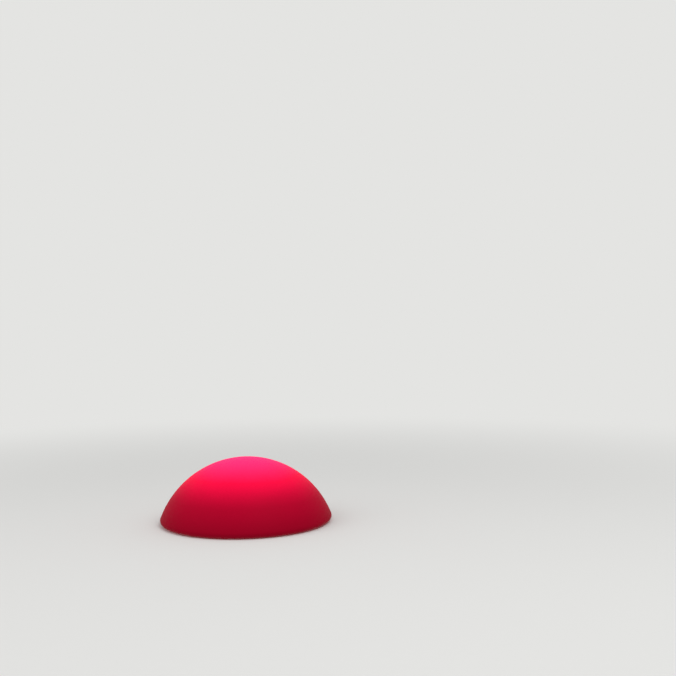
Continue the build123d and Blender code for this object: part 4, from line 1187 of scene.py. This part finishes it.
# %% Material of the floor
paving = bpy.data.materials.new("pale_floor")
paving.use_nodes = True
tree = paving.node_tree
tree.nodes.clear()
place = add(tree, "TexCoord", {}).outputs["Object"]
away = add(tree, "VectorMath", {"operation": "LENGTH", 0: place}).outputs["Value"]
beyond = add(tree, "Math", {"operation": "GREATER_THAN", 0: away, 1: UNDER_DOME})
path = add(tree, "LightPath", {})
rays = {kind: path.outputs["Is " + kind + " Ray"] for kind in ("Camera", "Glossy", "Transmission")}
mirrored = add(tree, "Math", {"operation": "MAXIMUM", 0: rays["Glossy"], 1: rays["Transmission"]})
mirrored = add(tree, "Math", {"operation": "MULTIPLY", 0: mirrored, 1: beyond})
seen = add(tree, "Math", {"operation": "MAXIMUM", 0: rays["Camera"], 1: mirrored})
behind = add(tree, "NewGeometry", {}).outputs["Backfacing"]
front = add(tree, "Math", {"operation": "SUBTRACT", 0: 1.0, 1: behind})
solid = add(tree, "Math", {"operation": "MULTIPLY", 0: seen, 1: front})
matt = add(tree, "BsdfDiffuse", {"Color": colour(GROUND)})
haze = add(tree, "Emission", {"Color": colour(GROUND), "Strength": 1.0})
far = add(tree, "MapRange", {
    "interpolation_type": "SMOOTHSTEP", "Value": away, "From Min": FADE_FROM, "From Max": FADE_TO,
})
ground = add(tree, "MixShader", {0: far, 1: matt.outputs[0], 2: haze.outputs[0]})
clear = add(tree, "BsdfTransparent", {})
ground = add(tree, "MixShader", {0: solid, 1: clear.outputs[0], 2: ground.outputs[0]})
add(tree, "OutputMaterial", {"Surface": ground})
floor_mesh.materials.append(paving)

# %% [markdown]
# The world gives even white light from all round. What the camera, a mirror or clear
# plastic sees of it is the floor's own pale grey. Two square lamps, a strong one from the
# right and a weak one from the left, give the dome a soft shadow and a little shape.

# %% World and lamps
bpy.context.scene.view_settings.view_transform = "Standard"
world = bpy.data.worlds.new("studio")
bpy.context.scene.world = world
world.use_nodes = True
tree = world.node_tree
tree.nodes.clear()
path = add(tree, "LightPath", {})
seen = path.outputs["Is Camera Ray"]
for kind in ("Is Glossy Ray", "Is Transmission Ray"):
    seen = add(tree, "Math", {"operation": "MAXIMUM", 0: seen, 1: path.outputs[kind]})
room = add(tree, "Background", {"Color": (1, 1, 1, 1), "Strength": 0.65})
backdrop = add(tree, "Background", {"Color": colour(GROUND), "Strength": 1.0})
both = add(tree, "MixShader", {0: seen, 1: room.outputs[0], 2: backdrop.outputs[0]})
add(tree, "OutputWorld", {"Surface": both})


def soft_lamp(name, place, size, power):
    """A square area lamp that points at the origin, with its size in metres and power in watts."""
    data = bpy.data.lights.new(name, "AREA")
    data.size, data.energy = size, power
    lamp = bpy.data.objects.new(name, data)
    lamp.location = place
    aim = -lamp.location.copy()
    lamp.rotation_euler = aim.to_track_quat("-Z", "Y").to_euler()
    bpy.context.scene.collection.objects.link(lamp)
    return lamp


soft_lamp("key", (1.1, -1.3, 2.3), 1.6, 22)
soft_lamp("fill", (-1.8, -0.9, 1.4), 1.6, 8)
